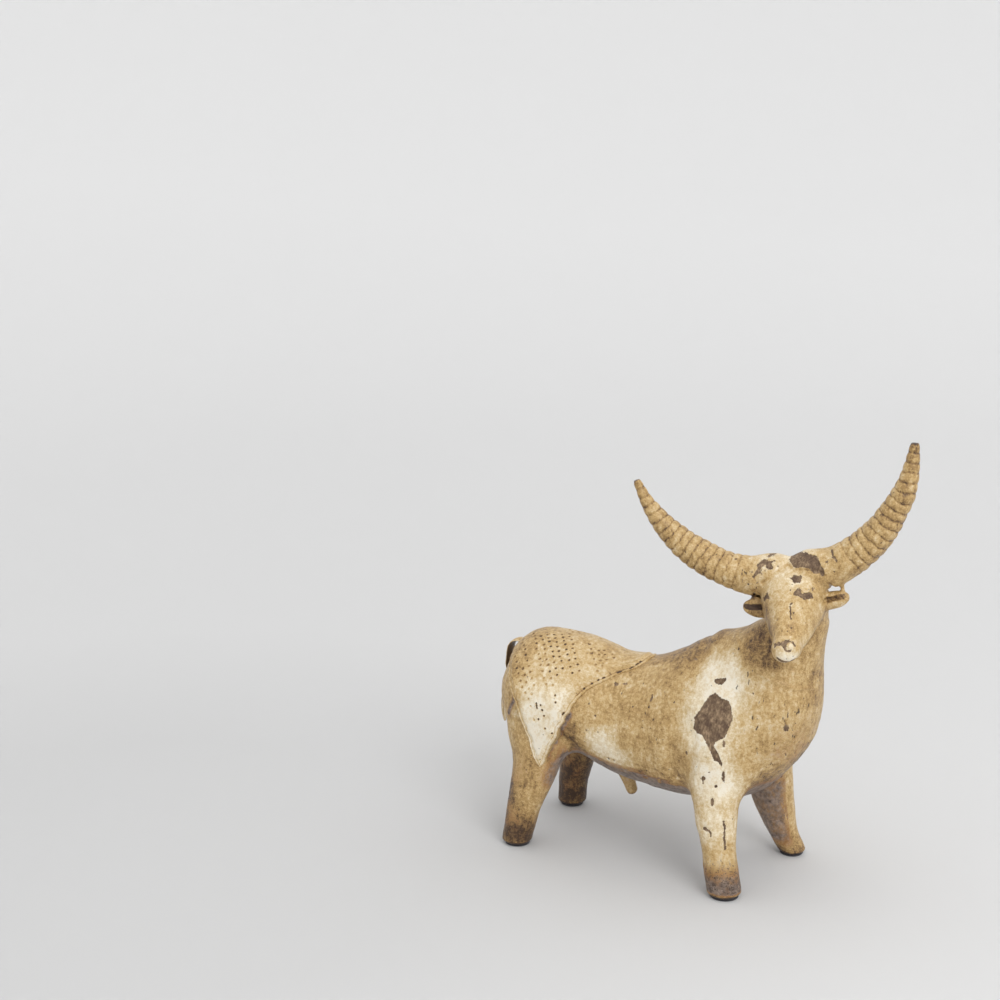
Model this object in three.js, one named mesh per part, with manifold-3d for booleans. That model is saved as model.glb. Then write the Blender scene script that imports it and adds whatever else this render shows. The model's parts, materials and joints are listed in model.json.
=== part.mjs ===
// A hollow stoneware bull, standing with its head turned to its right. Its clay pieces are separate solids, as
// they are before the potter joins them with slip: body, neck, legs, head, horns, ears, tail and rump blanket.
// Millimetres. +X is forward, +Y is the bull's left, +Z is up, and the felt pads stand on Z = 0.
import * as THREE from "three";
import { mergeVertices } from "three/addons/utils/BufferGeometryUtils.js";
import Module from "manifold-3d";

const wasm = await Module();
wasm.setup();

// Clay wall, joints and kiln openings
const WALL = 7; // wall of the hollow body and neck
const SEAM = 0.3; // thickness of a slip joint between two pieces
const VENT_RADIUS = 7; // kiln vent under the belly
const VENT_X = 14;
const BORE_RADIUS = 9; // finger hole that hollows the head from below

// Felt pads
const PAD_THICKNESS = 2;
const PAD_INSET = 2; // how far the pad's edge lies inside the foot's

// Barrel: heights of the back and of the belly above the floor, and widths
const RUMP_X = -84; // where the round end of the rump begins
const RUMP_ROUND = 33; // length of that round end
const LOIN_X = -52;
const SADDLE_X = -20; // lowest place of the back
const GIRTH_X = 8; // where the belly is lowest
const RUMP_TOP = 152;
const RUMP_BOTTOM = 71;
const SADDLE_TOP = 144;
const FLANK_BOTTOM = 61;
const BELLY_BOTTOM = 52;
const RUMP_WIDTH = 84;
const WAIST_WIDTH = 82;
const CHEST_WIDTH = 92;

// Chest and neck: their sections turn about one point above the withers, from upright to level
const TURN_X = 38;
const TURN_Z = 195;
const WITHERS_TOP = 166;
const CHEST_REACH = 137; // from the turning point to the brisket
const THROAT_REACH = 97; // from the turning point to the throat
const NAPE_REACH = 55; // from the turning point to the nape
const NECK_WIDTH = 42;
const NECK_BASE_WIDTH = 57.5; // where the neck begins to widen into the chest
const NECK_SEAM_TURN = 58; // angle of the joint between body and neck
const NECK_LENGTH = 32; // straight part of the neck above the turning point
const NECK_LEAN = 9; // how far the neck's top leans to the bull's right

// Head: its own frame has +X to the muzzle, +Y to the bull's left ear and +Z up
const HEAD_X = 112.5;
const HEAD_Y = -13;
const HEAD_Z = 216;
const HEAD_YAW = -78;
const HEAD_ROLL = 10.5;
const FACE_DROP = 31; // slope of the face below level
const SKULL_WIDTH = 44;
const SKULL_DEPTH = 41;
const FACE_LENGTH = 53; // from the skull's centre to the muzzle's centre
const MUZZLE_RADIUS = 9.2;
const FACE_BEND = 2.5; // how far the muzzle lies to the bull's right of the skull's middle

// Roll of clay that joins the horns, and the horns
const POLL_LENGTH = 50;
const POLL_RADIUS = 12;
const POLL_HUMP = 3;
const POLL_X = -2;
const POLL_Z = 12.6;
const HORN_RADIUS = 12.8;
const HORN_TIP_RADIUS = 1.3;
const HORN_LEFT = { side: 1, length: 111.3, start: 19.5, end: 78.5 }; // slopes at the poll and at the tip
const HORN_RIGHT = { side: -1, length: 110, start: 16, end: 78 };
const HORN_FORWARD = 4; // how far the tip lies in front of the base
const HORN_RIBS = 17;
const RIB_HEIGHT = 1;

// Ears
const EAR_LENGTH = 20;
const EAR_HEIGHT = 11.8;
const EAR_THICKNESS = 9;
const EAR_X = 2;
const EAR_DROP = 7.3; // below the skull's centre
const EAR_SCOOP = 0.8; // hollow of the ear, as a share of the leaf

// Feet: places on the floor, with y measured out from the middle, and the legs above them
const FOOT_FRONT_RIGHT = { x: 83.2, y: 48.2, radius: 12.1 };
const FOOT_FRONT_LEFT = { x: 95.2, y: 44.3, radius: 10.4 };
const FOOT_HIND_RIGHT = { x: -86.6, y: 44.2, radius: 11.2 };
const FOOT_HIND_LEFT = { x: -88.2, y: 42.6, radius: 10.7 };
const LEG_LENGTH = 100; // from the floor to the middle of the shoulder; the legs' rows are shares of it

// Rump blanket
const BLANKET_FRONT = 2; // where its front edge crosses the back
const BLANKET_LENGTH = 114; // along the ridge of the back
const BLANKET_THICKNESS = 3.4;
const BLANKET_ROOT = 9; // how deep its uncut form reaches into the trunk
const HAUNCH_BULGE = 5.5; // how far the haunches push it out
const LAPPET_FLARE = 8; // how far its hanging corners stand out
const LAPPET_REACH = 108; // how steeply the corners hang: half height of their section

// Tail
const TAIL_WIDTH = 8.5;
const TAIL_THICKNESS = 3.4;
const TAIL_TOP = 147;
const TAIL_LOOP = 7; // how far the loop stands behind the rump
const TAIL_REJOIN = 45; // how far below its top the tail meets the rump again
const TUFT_BOTTOM = 80;

// Sheath
const SHEATH_RADIUS = 6.5;
const SHEATH_LENGTH = 22;
const SHEATH_X = -13;
const SHEATH_BOTTOM = 38.5;
const SHEATH_SLOPE = 22;

const SIDES = 26; // points round a section of the body
const radians = THREE.MathUtils.degToRad;
const { clamp, lerp, smoothstep } = THREE.MathUtils;

// Lofts

// A value on the smooth curve through b and c, whose neighbours are a and d.
function onCurve(a, b, c, d, t) {
  const linear = (c - a) * t;
  const square = (2 * a - 5 * b + 4 * c - d) * t * t;
  const cube = (3 * b - a - 3 * c + d) * t * t * t;
  return (2 * b + linear + square + cube) / 2;
}

// Fills in steps - 1 smooth rows between each two of the given ones.
function smooth(rows, steps) {
  const at = (i) => rows[clamp(i, 0, rows.length - 1)];
  const between = (i, t) => {
    const row = {};
    for (const key of Object.keys(rows[0])) {
      row[key] = onCurve(at(i - 1)[key], at(i)[key], at(i + 1)[key], at(i + 2)[key], t);
    }
    return row;
  };
  const made = [];
  for (let i = 0; i < rows.length - 1; i++) {
    for (let step = 0; step < steps; step++) made.push(between(i, step / steps));
  }
  made.push(rows.at(-1));
  return made;
}

// The points of one section. Its plane leans by turn degrees about Y: 0 is upright and 90 is level.
// A positive egg makes it wider below and narrower above.
function ring({ x, y, z, turn, tall, half, egg }, grow = 0, sides = SIDES) {
  const lean = radians(turn);
  return Array.from({ length: sides }, (_, i) => {
    const angle = (i / sides) * 2 * Math.PI;
    const across = (half + grow) * Math.cos(angle) * (1 - egg * Math.sin(angle));
    const rise = (tall + grow) * Math.sin(angle);
    return new THREE.Vector3(x - rise * Math.sin(lean), y + across, z + rise * Math.cos(lean));
  });
}

// A closed skin over rings that have the same number of points.
function loft(rings) {
  const sides = rings[0].length;
  const points = rings.flat();
  const middle = (row) => row.reduce((sum, p) => sum.add(p), new THREE.Vector3()).divideScalar(sides);
  const first = points.push(middle(rings[0])) - 1;
  const last = points.push(middle(rings.at(-1))) - 1;
  const top = (rings.length - 1) * sides;
  const faces = [];
  for (let i = 0; i < sides; i++) {
    const next = (i + 1) % sides;
    faces.push(first, next, i);
    faces.push(last, top + i, top + next);
    for (let row = 0; row < rings.length - 1; row++) {
      const here = row * sides;
      const above = here + sides;
      faces.push(here + i, here + next, above + i);
      faces.push(here + next, above + next, above + i);
    }
  }
  return new THREE.BufferGeometry().setFromPoints(points).setIndex(faces);
}

// Solids

function solidOf(geometry) {
  const bare = geometry.clone();
  bare.deleteAttribute("normal");
  bare.deleteAttribute("uv");
  const merged = mergeVertices(bare, 1e-4);
  return new wasm.Manifold(
    new wasm.Mesh({
      numProp: 3,
      vertProperties: new Float32Array(merged.attributes.position.array),
      triVerts: new Uint32Array(merged.index.array),
    }),
  );
}

function geometryOf(solid) {
  const mesh = solid.getMesh();
  const geometry = new THREE.BufferGeometry();
  geometry.setAttribute("position", new THREE.BufferAttribute(mesh.vertProperties, 3));
  geometry.setIndex(new THREE.BufferAttribute(mesh.triVerts, 1));
  return geometry;
}

// The piece that is left of a form once its neighbours are cut out of it, without the crumbs of the cut.
function trimmed(form, ...neighbours) {
  let rest = form;
  for (const neighbour of neighbours) rest = rest.subtract(neighbour);
  return rest.decompose().sort((a, b) => b.volume() - a.volume())[0];
}

// Trunk: one row of sections from the rump along the barrel, round the chest and up the neck

function barrelSection(x, top, bottom, width, egg) {
  return { x, y: 0, z: (top + bottom) / 2, turn: 0, tall: (top - bottom) / 2, half: width / 2, egg };
}

function turnedSection(turn, near, far, width, egg, lean) {
  const middle = (near + far) / 2;
  const x = TURN_X + middle * Math.sin(radians(turn));
  const z = TURN_Z - middle * Math.cos(radians(turn));
  return { x, y: -NECK_LEAN * lean, z, turn, tall: (far - near) / 2, half: width / 2, egg };
}

const WITHERS_REACH = TURN_Z - WITHERS_TOP;
const rumpSection = barrelSection(RUMP_X, RUMP_TOP, RUMP_BOTTOM, RUMP_WIDTH, 0.05);
const trunk = smooth(
  [
    rumpSection,
    barrelSection(LOIN_X, RUMP_TOP - 1.5, RUMP_BOTTOM + 2, RUMP_WIDTH, 0.08),
    barrelSection(SADDLE_X, SADDLE_TOP, FLANK_BOTTOM, WAIST_WIDTH, 0.08),
    barrelSection(GIRTH_X, SADDLE_TOP + 6, BELLY_BOTTOM + 1, WAIST_WIDTH + 4, 0.12),
    turnedSection(0, WITHERS_REACH, TURN_Z - BELLY_BOTTOM, CHEST_WIDTH, 0.2, 0),
    turnedSection(20, WITHERS_REACH - 3, CHEST_REACH + 1, CHEST_WIDTH, 0.24, 0),
    turnedSection(45, WITHERS_REACH - 3, CHEST_REACH - 14.7, CHEST_WIDTH * 0.86, 0.2, 0.15),
    turnedSection(70, (WITHERS_REACH + NAPE_REACH) / 2 - 4.7, THROAT_REACH + 1, NECK_BASE_WIDTH, 0.1, 0.5),
    turnedSection(90, NAPE_REACH, THROAT_REACH, NECK_WIDTH, 0, 0.8),
  ],
  3,
);
const bodySections = trunk.filter((section) => section.turn < NECK_SEAM_TURN);
const neckSections = trunk.filter((section) => section.turn > NECK_SEAM_TURN);

// The joint between body and neck, moved by a distance along the neck.
function neckSeam(move) {
  const before = bodySections.at(-1);
  const after = neckSections[0];
  const share = (NECK_SEAM_TURN - before.turn) / (after.turn - before.turn);
  const seam = {};
  for (const key of Object.keys(after)) seam[key] = lerp(before[key], after[key], share);
  seam.x += move * Math.cos(radians(seam.turn));
  seam.z += move * Math.sin(radians(seam.turn));
  return seam;
}

// The neck above the turning point, closing inside the head.
function neckTop() {
  const start = neckSections.at(-1);
  return [0.33, 0.66, 0.85, 0.97].map((share) => {
    const close = Math.sqrt(1 - Math.max(0, (share - 0.5) / 0.5) ** 2);
    const tall = start.tall * close;
    return { ...start, y: -NECK_LEAN, z: start.z + NECK_LENGTH * share, tall, half: start.half * close };
  });
}

// The round end of the rump, as a quarter ellipse that starts at the rump section.
function rumpRing(angle, grow, sides = SIDES) {
  const share = Math.cos(angle);
  const tall = (rumpSection.tall + grow) * share;
  const half = (rumpSection.half + grow) * share;
  const x = RUMP_X - (RUMP_ROUND + grow) * Math.sin(angle);
  return ring({ ...rumpSection, x, tall, half }, 0, sides);
}

function rumpRings(grow, sides = SIDES) {
  return [86, 70, 54, 36, 18].map((degrees) => rumpRing(radians(degrees), grow, sides));
}

function trunkForm(grow) {
  const sections = [...bodySections, neckSeam(0), ...neckSections, ...neckTop()];
  return solidOf(loft([...rumpRings(grow), ...sections.map((section) => ring(section, grow))]));
}

function bodyShell() {
  const inner = 18;
  const wall = [...bodySections, neckSeam(0)].map((section) => ring(section));
  const space = [...bodySections.filter((_, i) => i % 2 === 0), neckSeam(0), neckSeam(2)];
  const hollow = [...rumpRings(-WALL, inner), ...space.map((section) => ring(section, -WALL, inner))];
  const vent = new THREE.CylinderGeometry(VENT_RADIUS, VENT_RADIUS, 3 * WALL, 24);
  vent.rotateX(Math.PI / 2).translate(VENT_X, 0, BELLY_BOTTOM + WALL);
  return solidOf(loft([...rumpRings(0), ...wall])).subtract(solidOf(loft(hollow))).subtract(solidOf(vent));
}

function neckShell() {
  const inner = 18;
  const wall = [neckSeam(SEAM), ...neckSections, ...neckTop()].map((section) => ring(section));
  const space = [neckSeam(-2), neckSeam(SEAM), ...neckSections, neckTop()[0], neckTop()[1]];
  return solidOf(loft(wall)).subtract(solidOf(loft(space.map((section) => ring(section, -WALL, inner)))));
}

// Head

const headGroup = new THREE.Group();
headGroup.position.set(HEAD_X, HEAD_Y, HEAD_Z);
headGroup.rotation.set(radians(HEAD_ROLL), 0, radians(HEAD_YAW), "ZYX");
headGroup.updateMatrix();

// A section across the face, at a distance from the skull's centre down the sloping face.
function faceSection(along, half, tall, egg) {
  const slope = radians(FACE_DROP);
  const x = along * Math.cos(slope);
  const y = -FACE_BEND * clamp(along / FACE_LENGTH, 0, 1);
  const z = -along * Math.sin(slope);
  return { x, y, z, turn: -FACE_DROP, tall, half, egg };
}

function headForm(grow = 0) {
  const wide = SKULL_WIDTH / 2;
  const deep = SKULL_DEPTH / 2;
  const sections = smooth(
    [
      faceSection(-deep + 1, wide * 0.4, deep * 0.4, 0),
      faceSection(-deep * 0.7, wide * 0.82, deep * 0.8, 0),
      faceSection(-1, wide, deep, 0),
      faceSection(FACE_LENGTH * 0.24, wide * 0.98, deep * 0.93, 0.1),
      faceSection(FACE_LENGTH * 0.48, wide * 0.82, deep * 0.78, 0.22),
      faceSection(FACE_LENGTH * 0.72, wide * 0.58, deep * 0.62, 0.25),
      faceSection(FACE_LENGTH * 0.9, wide * 0.44, deep * 0.48, 0.18),
      faceSection(FACE_LENGTH, wide * 0.38, deep * 0.4, 0.1),
    ],
    2,
  );
  return solidOf(loft(sections.map((section) => ring(section, grow, 22))));
}

function head() {
  const bore = new THREE.CylinderGeometry(BORE_RADIUS, BORE_RADIUS, SKULL_DEPTH, 20);
  bore.rotateX(Math.PI / 2).translate(-4, 0, -SKULL_DEPTH / 2);
  return headForm().subtract(solidOf(bore));
}

function muzzle() {
  const tip = faceSection(FACE_LENGTH, 0, 0, 0);
  const ball = new THREE.SphereGeometry(MUZZLE_RADIUS, 18, 12);
  ball.scale(1, 1.08, 0.95).translate(tip.x, tip.y, tip.z);
  return trimmed(solidOf(ball), headForm(SEAM));
}

// The roll across the top of the skull, with a hump on each side of its middle.
function pollForm(grow = 0) {
  const half = POLL_LENGTH / 2;
  const steps = 10;
  const profile = [];
  for (let i = 0; i <= steps; i++) {
    const share = (2 * i) / steps - 1;
    const hump = POLL_HUMP * Math.cos((Math.abs(share) - 0.55) * Math.PI);
    profile.push(new THREE.Vector2(POLL_RADIUS + hump + grow, share * (half + grow)));
  }
  profile.unshift(new THREE.Vector2(0, -half - grow));
  profile.push(new THREE.Vector2(0, half + grow));
  return solidOf(new THREE.LatheGeometry(profile, 22).translate(POLL_X, 0, POLL_Z));
}

// A ribbed horn: rings along an arc that starts at the roll's end and rises to the left or right.
function hornForm({ side, length, start, end }) {
  const sides = 14;
  const ringsPerRib = 3;
  const steps = HORN_RIBS * ringsPerRib;
  const arcRadius = length / radians(end - start);
  const rings = [];
  for (let i = 0; i <= steps; i++) {
    const share = i / steps;
    const slope = radians(lerp(start, end, share));
    const outward = POLL_LENGTH / 2 + SEAM + arcRadius * (Math.sin(slope) - Math.sin(radians(start)));
    const rise = POLL_Z + arcRadius * (Math.cos(radians(start)) - Math.cos(slope));
    const centre = new THREE.Vector3(POLL_X + HORN_FORWARD * share, side * outward, rise);
    const rib = RIB_HEIGHT * (i % ringsPerRib === 0 ? -0.6 : 0.4) * (1 - 0.6 * share);
    const radius = lerp(HORN_RADIUS, HORN_TIP_RADIUS, share ** 1.8) + rib;
    const row = Array.from({ length: sides }, (_, k) => {
      const angle = (k / sides) * 2 * Math.PI * side;
      const tall = radius * Math.sin(angle);
      const across = radius * Math.cos(angle);
      return new THREE.Vector3(across, -side * Math.sin(slope) * tall, Math.cos(slope) * tall).add(centre);
    });
    rings.push(row.reverse());
  }
  return solidOf(loft(rings));
}

function earLeaf(side, share, grow = 0) {
  const leaf = new THREE.SphereGeometry(1, 16, 10);
  leaf.scale(EAR_THICKNESS / 2 + grow, (share * EAR_LENGTH) / 2 + grow, (share * EAR_HEIGHT) / 2 + grow);
  return leaf.translate(EAR_X, side * (SKULL_WIDTH / 2 + EAR_LENGTH * 0.3), -EAR_DROP);
}

function ear(side) {
  const scoop = earLeaf(side, EAR_SCOOP).translate(EAR_THICKNESS * 0.45, 0, 0);
  return trimmed(solidOf(earLeaf(side, 1)), solidOf(scoop), headForm(SEAM), pollForm(SEAM));
}

// The head with its ears in the body's frame, for cutting the neck.
function headInPlace() {
  const ears = solidOf(earLeaf(1, 1, SEAM)).add(solidOf(earLeaf(-1, 1, SEAM)));
  const whole = headForm(SEAM).add(pollForm(SEAM)).add(ears);
  return solidOf(geometryOf(whole).applyMatrix4(headGroup.matrix));
}

// Legs: rows of level sections from the foot up to the shoulder or haunch

function legRow(x, y, z, long, wide) {
  const row = { x, y, z, long, wide };
  for (const key of Object.keys(row)) row[key] *= LEG_LENGTH;
  return row;
}

const SHOULDER = [
  legRow(0.7, 0.33, 0.92, 0.24, 0.17),
  legRow(0.69, 0.31, 1.12, 0.25, 0.165),
  legRow(0.67, 0.27, 1.32, 0.21, 0.145),
  legRow(0.65, 0.2, 1.5, 0.11, 0.09),
];
const HAUNCH = [
  legRow(-0.75, 0.33, 0.85, 0.25, 0.145),
  legRow(-0.77, 0.295, 1.1, 0.26, 0.16),
  legRow(-0.79, 0.24, 1.3, 0.19, 0.125),
  legRow(-0.8, 0.18, 1.4, 0.09, 0.07),
];
const LEGS = [
  {
    name: "front_right",
    side: -1,
    foot: FOOT_FRONT_RIGHT,
    rows: [
      legRow(0.781, 0.463, 0.28, 0.122, 0.117),
      legRow(0.736, 0.432, 0.5, 0.144, 0.128),
      legRow(0.705, 0.385, 0.72, 0.18, 0.145),
      ...SHOULDER,
    ],
  },
  {
    name: "front_left",
    side: 1,
    foot: FOOT_FRONT_LEFT,
    rows: [
      legRow(0.866, 0.43, 0.2, 0.123, 0.114),
      legRow(0.806, 0.405, 0.4, 0.16, 0.127),
      legRow(0.772, 0.375, 0.64, 0.186, 0.14),
      ...SHOULDER,
    ],
  },
  {
    name: "hind_right",
    side: -1,
    foot: FOOT_HIND_RIGHT,
    rows: [
      legRow(-0.834, 0.435, 0.22, 0.122, 0.118),
      legRow(-0.78, 0.405, 0.45, 0.155, 0.128),
      legRow(-0.744, 0.365, 0.64, 0.189, 0.135),
      ...HAUNCH,
    ],
  },
  {
    name: "hind_left",
    side: 1,
    foot: FOOT_HIND_LEFT,
    rows: [
      legRow(-0.867, 0.42, 0.22, 0.118, 0.114),
      legRow(-0.815, 0.4, 0.45, 0.143, 0.125),
      legRow(-0.765, 0.365, 0.64, 0.176, 0.135),
      ...HAUNCH,
    ],
  },
];

function legForm({ side, foot, rows }, grow = 0) {
  const edge = foot.radius * 0.14;
  const sole = foot.radius - edge;
  const base = { x: foot.x, y: foot.y, z: PAD_THICKNESS, long: sole, wide: sole };
  const rim = { ...base, z: PAD_THICKNESS + edge, long: foot.radius, wide: foot.radius };
  const levels = [base, ...smooth([rim, ...rows], 2)];
  const sides = 20;
  const sections = levels.map(({ x, y, z, long, wide }) =>
    Array.from({ length: sides }, (_, i) => {
      const angle = (i / sides) * 2 * Math.PI;
      const across = side * y + (wide + grow) * Math.sin(angle);
      return new THREE.Vector3(x + (long + grow) * Math.cos(angle), across, z);
    }),
  );
  return solidOf(loft(sections));
}

function pad({ side, foot }) {
  const radius = foot.radius - PAD_INSET;
  const disc = new THREE.CylinderGeometry(radius, radius, PAD_THICKNESS, 24);
  return disc.rotateX(Math.PI / 2).translate(foot.x, side * foot.y, PAD_THICKNESS / 2);
}

// Rump blanket: for each angle down from the ridge of the back, where its front and rear edges lie, as shares
// of its length

const BLANKET_EDGES = [
  { drop: 0, front: 0, rear: 1 },
  { drop: 22, front: 0.044, rear: 0.991 },
  { drop: 33, front: 0.136, rear: 0.974 },
  { drop: 45, front: 0.228, rear: 0.939 },
  { drop: 60, front: 0.307, rear: 0.890 },
  { drop: 75, front: 0.364, rear: 0.842 },
  { drop: 89, front: 0.395, rear: 0.789 },
  { drop: 97, front: 0.447, rear: 0.732 },
  { drop: 103, front: 0.478, rear: 0.689 },
  { drop: 108, front: 0.522, rear: 0.658 },
  { drop: 111, front: 0.553, rear: 0.636 },
  { drop: 113, front: 0.575, rear: 0.610 },
];

// The trunk's upright section at any place along the barrel.
function barrelAt(x) {
  const next = Math.max(1, bodySections.findIndex((section) => section.x >= x));
  const before = bodySections[next - 1];
  const after = bodySections[next];
  const section = {};
  for (const key of Object.keys(rumpSection)) {
    section[key] = lerp(before[key], after[key], clamp((x - before.x) / (after.x - before.x), 0, 1));
  }
  return section;
}

// A point of the blanket at a place along the back and an angle down from the ridge.
function blanketPoint(x, drop, grow) {
  const round = Math.asin(clamp((RUMP_X - x) / RUMP_ROUND, 0, 1));
  const share = Math.cos(round);
  const section = barrelAt(Math.max(x, RUMP_X));
  const angle = radians(90 - Math.abs(drop));
  const haunch = smoothstep(-x, 20, 60) * smoothstep(Math.abs(drop), 20, 85);
  const half = section.half + HAUNCH_BULGE * haunch + grow;
  const egg = 1 - section.egg * Math.max(0, Math.sin(angle));
  const flare = LAPPET_FLARE * Math.max(0, -Math.sin(angle));
  const tall = Math.sin(angle) > 0 ? section.tall + grow : LAPPET_REACH;
  return new THREE.Vector3(
    x < RUMP_X ? RUMP_X - (RUMP_ROUND + grow) * Math.sin(round) : x,
    Math.sign(drop) * share * (half * Math.cos(angle) * egg + flare),
    section.z + share * tall * Math.sin(angle),
  );
}

// The blanket as a block with smooth edges, deep enough to be cut by the trunk and the haunches under it.
function blanketForm(grow = 0) {
  const half = smooth(BLANKET_EDGES, 2);
  const edges = [...half.slice(1).map((row) => ({ ...row, drop: -row.drop })).reverse(), ...half];
  const steps = 11;
  const rings = edges.map(({ drop, front, rear }) => {
    const from = BLANKET_FRONT - rear * BLANKET_LENGTH - grow;
    const to = BLANKET_FRONT - front * BLANKET_LENGTH + grow;
    const at = (i) => lerp(from, to, i / steps);
    const places = Array.from({ length: steps + 1 }, (_, i) => at(i));
    const outer = places.map((x) => blanketPoint(x, drop, BLANKET_THICKNESS + grow));
    const inner = places.reverse().map((x) => blanketPoint(x, drop, -BLANKET_ROOT));
    return [...outer, ...inner];
  });
  return solidOf(loft(rings));
}

// Tail: a flat strap that leaves the rump in a loop and runs down it to a leaf-shaped tuft
function tailForm() {
  const rear = RUMP_X - RUMP_ROUND;
  const route = new THREE.CatmullRomCurve3([
    new THREE.Vector3(rear + 15, -2, TAIL_TOP - 6),
    new THREE.Vector3(rear + 6, -2, TAIL_TOP - 3),
    new THREE.Vector3(rear - TAIL_LOOP + 3, -3, TAIL_TOP - 9),
    new THREE.Vector3(rear - TAIL_LOOP, -4, TAIL_TOP - 22),
    new THREE.Vector3(rear - TAIL_LOOP / 2, -5, TAIL_TOP - 35),
    new THREE.Vector3(rear - 0.6, -6, TAIL_TOP - TAIL_REJOIN),
    new THREE.Vector3(rear - 0.6, -7.5, lerp(TAIL_TOP - TAIL_REJOIN, TUFT_BOTTOM, 0.5)),
    new THREE.Vector3(rear + 0.5, -9, TUFT_BOTTOM),
  ]);
  const steps = 26;
  const sides = 12;
  const rings = [];
  for (let i = 0; i <= steps; i++) {
    const share = i / steps;
    const centre = route.getPointAt(share);
    const along = route.getTangentAt(share);
    const across = new THREE.Vector3(0, 1, 0).addScaledVector(along, -along.y).normalize();
    const out = new THREE.Vector3().crossVectors(along, across);
    const tuft = 1 + 0.25 * smoothstep(share, 0.55, 0.75);
    const close = Math.sqrt(1 - (Math.max(0, share - 0.78) / 0.222) ** 2);
    const wide = (TAIL_WIDTH / 2) * tuft * close;
    const thick = (TAIL_THICKNESS / 2) * tuft * close;
    const row = Array.from({ length: sides }, (_, k) => {
      const angle = (k / sides) * 2 * Math.PI;
      const offset = across.clone().multiplyScalar(wide * Math.cos(angle));
      return offset.addScaledVector(out, thick * Math.sin(angle)).add(centre);
    });
    rings.push(row);
  }
  return solidOf(loft(rings));
}

function sheathForm() {
  const round = SHEATH_RADIUS * 0.62;
  const profile = [0, 18, 36, 54, 72, 90].map((degrees) => {
    const angle = radians(degrees);
    return new THREE.Vector2(round * Math.sin(angle), round * (1 - Math.cos(angle)));
  });
  profile.push(new THREE.Vector2(SHEATH_RADIUS, SHEATH_LENGTH), new THREE.Vector2(0, SHEATH_LENGTH + 6));
  const nub = new THREE.LatheGeometry(profile, 18).rotateX(Math.PI / 2).rotateY(radians(-SHEATH_SLOPE));
  return solidOf(nub.translate(SHEATH_X, 0, SHEATH_BOTTOM));
}

// Assembly

const cream = new THREE.MeshStandardMaterial({ color: 0xd9cba6, roughness: 0.55, metalness: 0 });
const tan = new THREE.MeshStandardMaterial({ color: 0xbfa77c, roughness: 0.55, metalness: 0 });
const ochre = new THREE.MeshStandardMaterial({ color: 0xa98452, roughness: 0.5, metalness: 0 });
const felt = new THREE.MeshStandardMaterial({ color: 0x1d1c22, roughness: 0.95, metalness: 0 });

const model = new THREE.Group();

function place(name, shape, material, parent = model) {
  const geometry = shape.isBufferGeometry ? shape : geometryOf(shape);
  const mesh = new THREE.Mesh(geometry, material);
  mesh.name = name;
  parent.add(mesh);
}

const grownTrunk = trunkForm(SEAM);
const haunches = LEGS.filter((leg) => leg.foot.x < 0).map((leg) => legForm(leg, SEAM));

place("body_shell", bodyShell(), tan);
place("neck_shell", trimmed(neckShell(), headInPlace()), tan);
for (const leg of LEGS) {
  place(`leg_${leg.name}`, trimmed(legForm(leg), grownTrunk), ochre);
  place(`pad_${leg.name}`, pad(leg), felt);
}
place("rump_blanket", trimmed(blanketForm(), grownTrunk, ...haunches), cream);
place("tail", trimmed(tailForm(), grownTrunk, blanketForm(SEAM)), ochre);
place("sheath", trimmed(sheathForm(), grownTrunk), ochre);

model.add(headGroup);
place("head", head(), cream, headGroup);
place("muzzle", muzzle(), cream, headGroup);
place("poll_roll", trimmed(pollForm(), headForm(SEAM)), cream, headGroup);
for (const [name, horn] of [["left", HORN_LEFT], ["right", HORN_RIGHT]]) {
  place(`horn_${name}`, trimmed(hornForm(horn), pollForm(SEAM), headForm(SEAM)), tan, headGroup);
  place(`ear_${name}`, ear(horn.side), ochre, headGroup);
}

// The origin lies on the floor under the middle of the whole.
const middle = new THREE.Box3().setFromObject(model, true).getCenter(new THREE.Vector3());
model.position.set(-middle.x, -middle.y, 0);

export default model;
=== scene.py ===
"""Stoneware bull with a dot-stamped rump blanket: the glazed clay skin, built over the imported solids.

The forms are written in millimetres in the bull's own frame (+X forward, +Y to its left, +Z up), and are put
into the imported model's frame, in metres, when a piece is made.
"""
import json
import math

import bpy
import numpy as np
import openvdb
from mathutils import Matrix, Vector


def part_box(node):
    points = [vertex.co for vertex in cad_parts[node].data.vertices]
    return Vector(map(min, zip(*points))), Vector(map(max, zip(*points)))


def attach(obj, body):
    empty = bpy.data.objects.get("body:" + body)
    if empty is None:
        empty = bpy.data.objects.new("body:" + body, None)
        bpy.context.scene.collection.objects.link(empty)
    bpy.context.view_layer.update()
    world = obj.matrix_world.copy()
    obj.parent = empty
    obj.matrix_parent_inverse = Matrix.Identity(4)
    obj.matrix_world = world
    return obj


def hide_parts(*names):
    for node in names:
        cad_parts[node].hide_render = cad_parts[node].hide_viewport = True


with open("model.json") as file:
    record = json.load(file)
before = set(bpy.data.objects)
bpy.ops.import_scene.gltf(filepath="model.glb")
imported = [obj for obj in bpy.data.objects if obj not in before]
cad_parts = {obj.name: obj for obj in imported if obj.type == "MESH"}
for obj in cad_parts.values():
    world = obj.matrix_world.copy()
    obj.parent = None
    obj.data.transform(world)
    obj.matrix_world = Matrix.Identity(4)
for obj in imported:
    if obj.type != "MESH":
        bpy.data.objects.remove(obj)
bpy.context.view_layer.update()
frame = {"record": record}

# Grain of the skin
VOXEL = 0.75
BAND = 15.0

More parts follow.
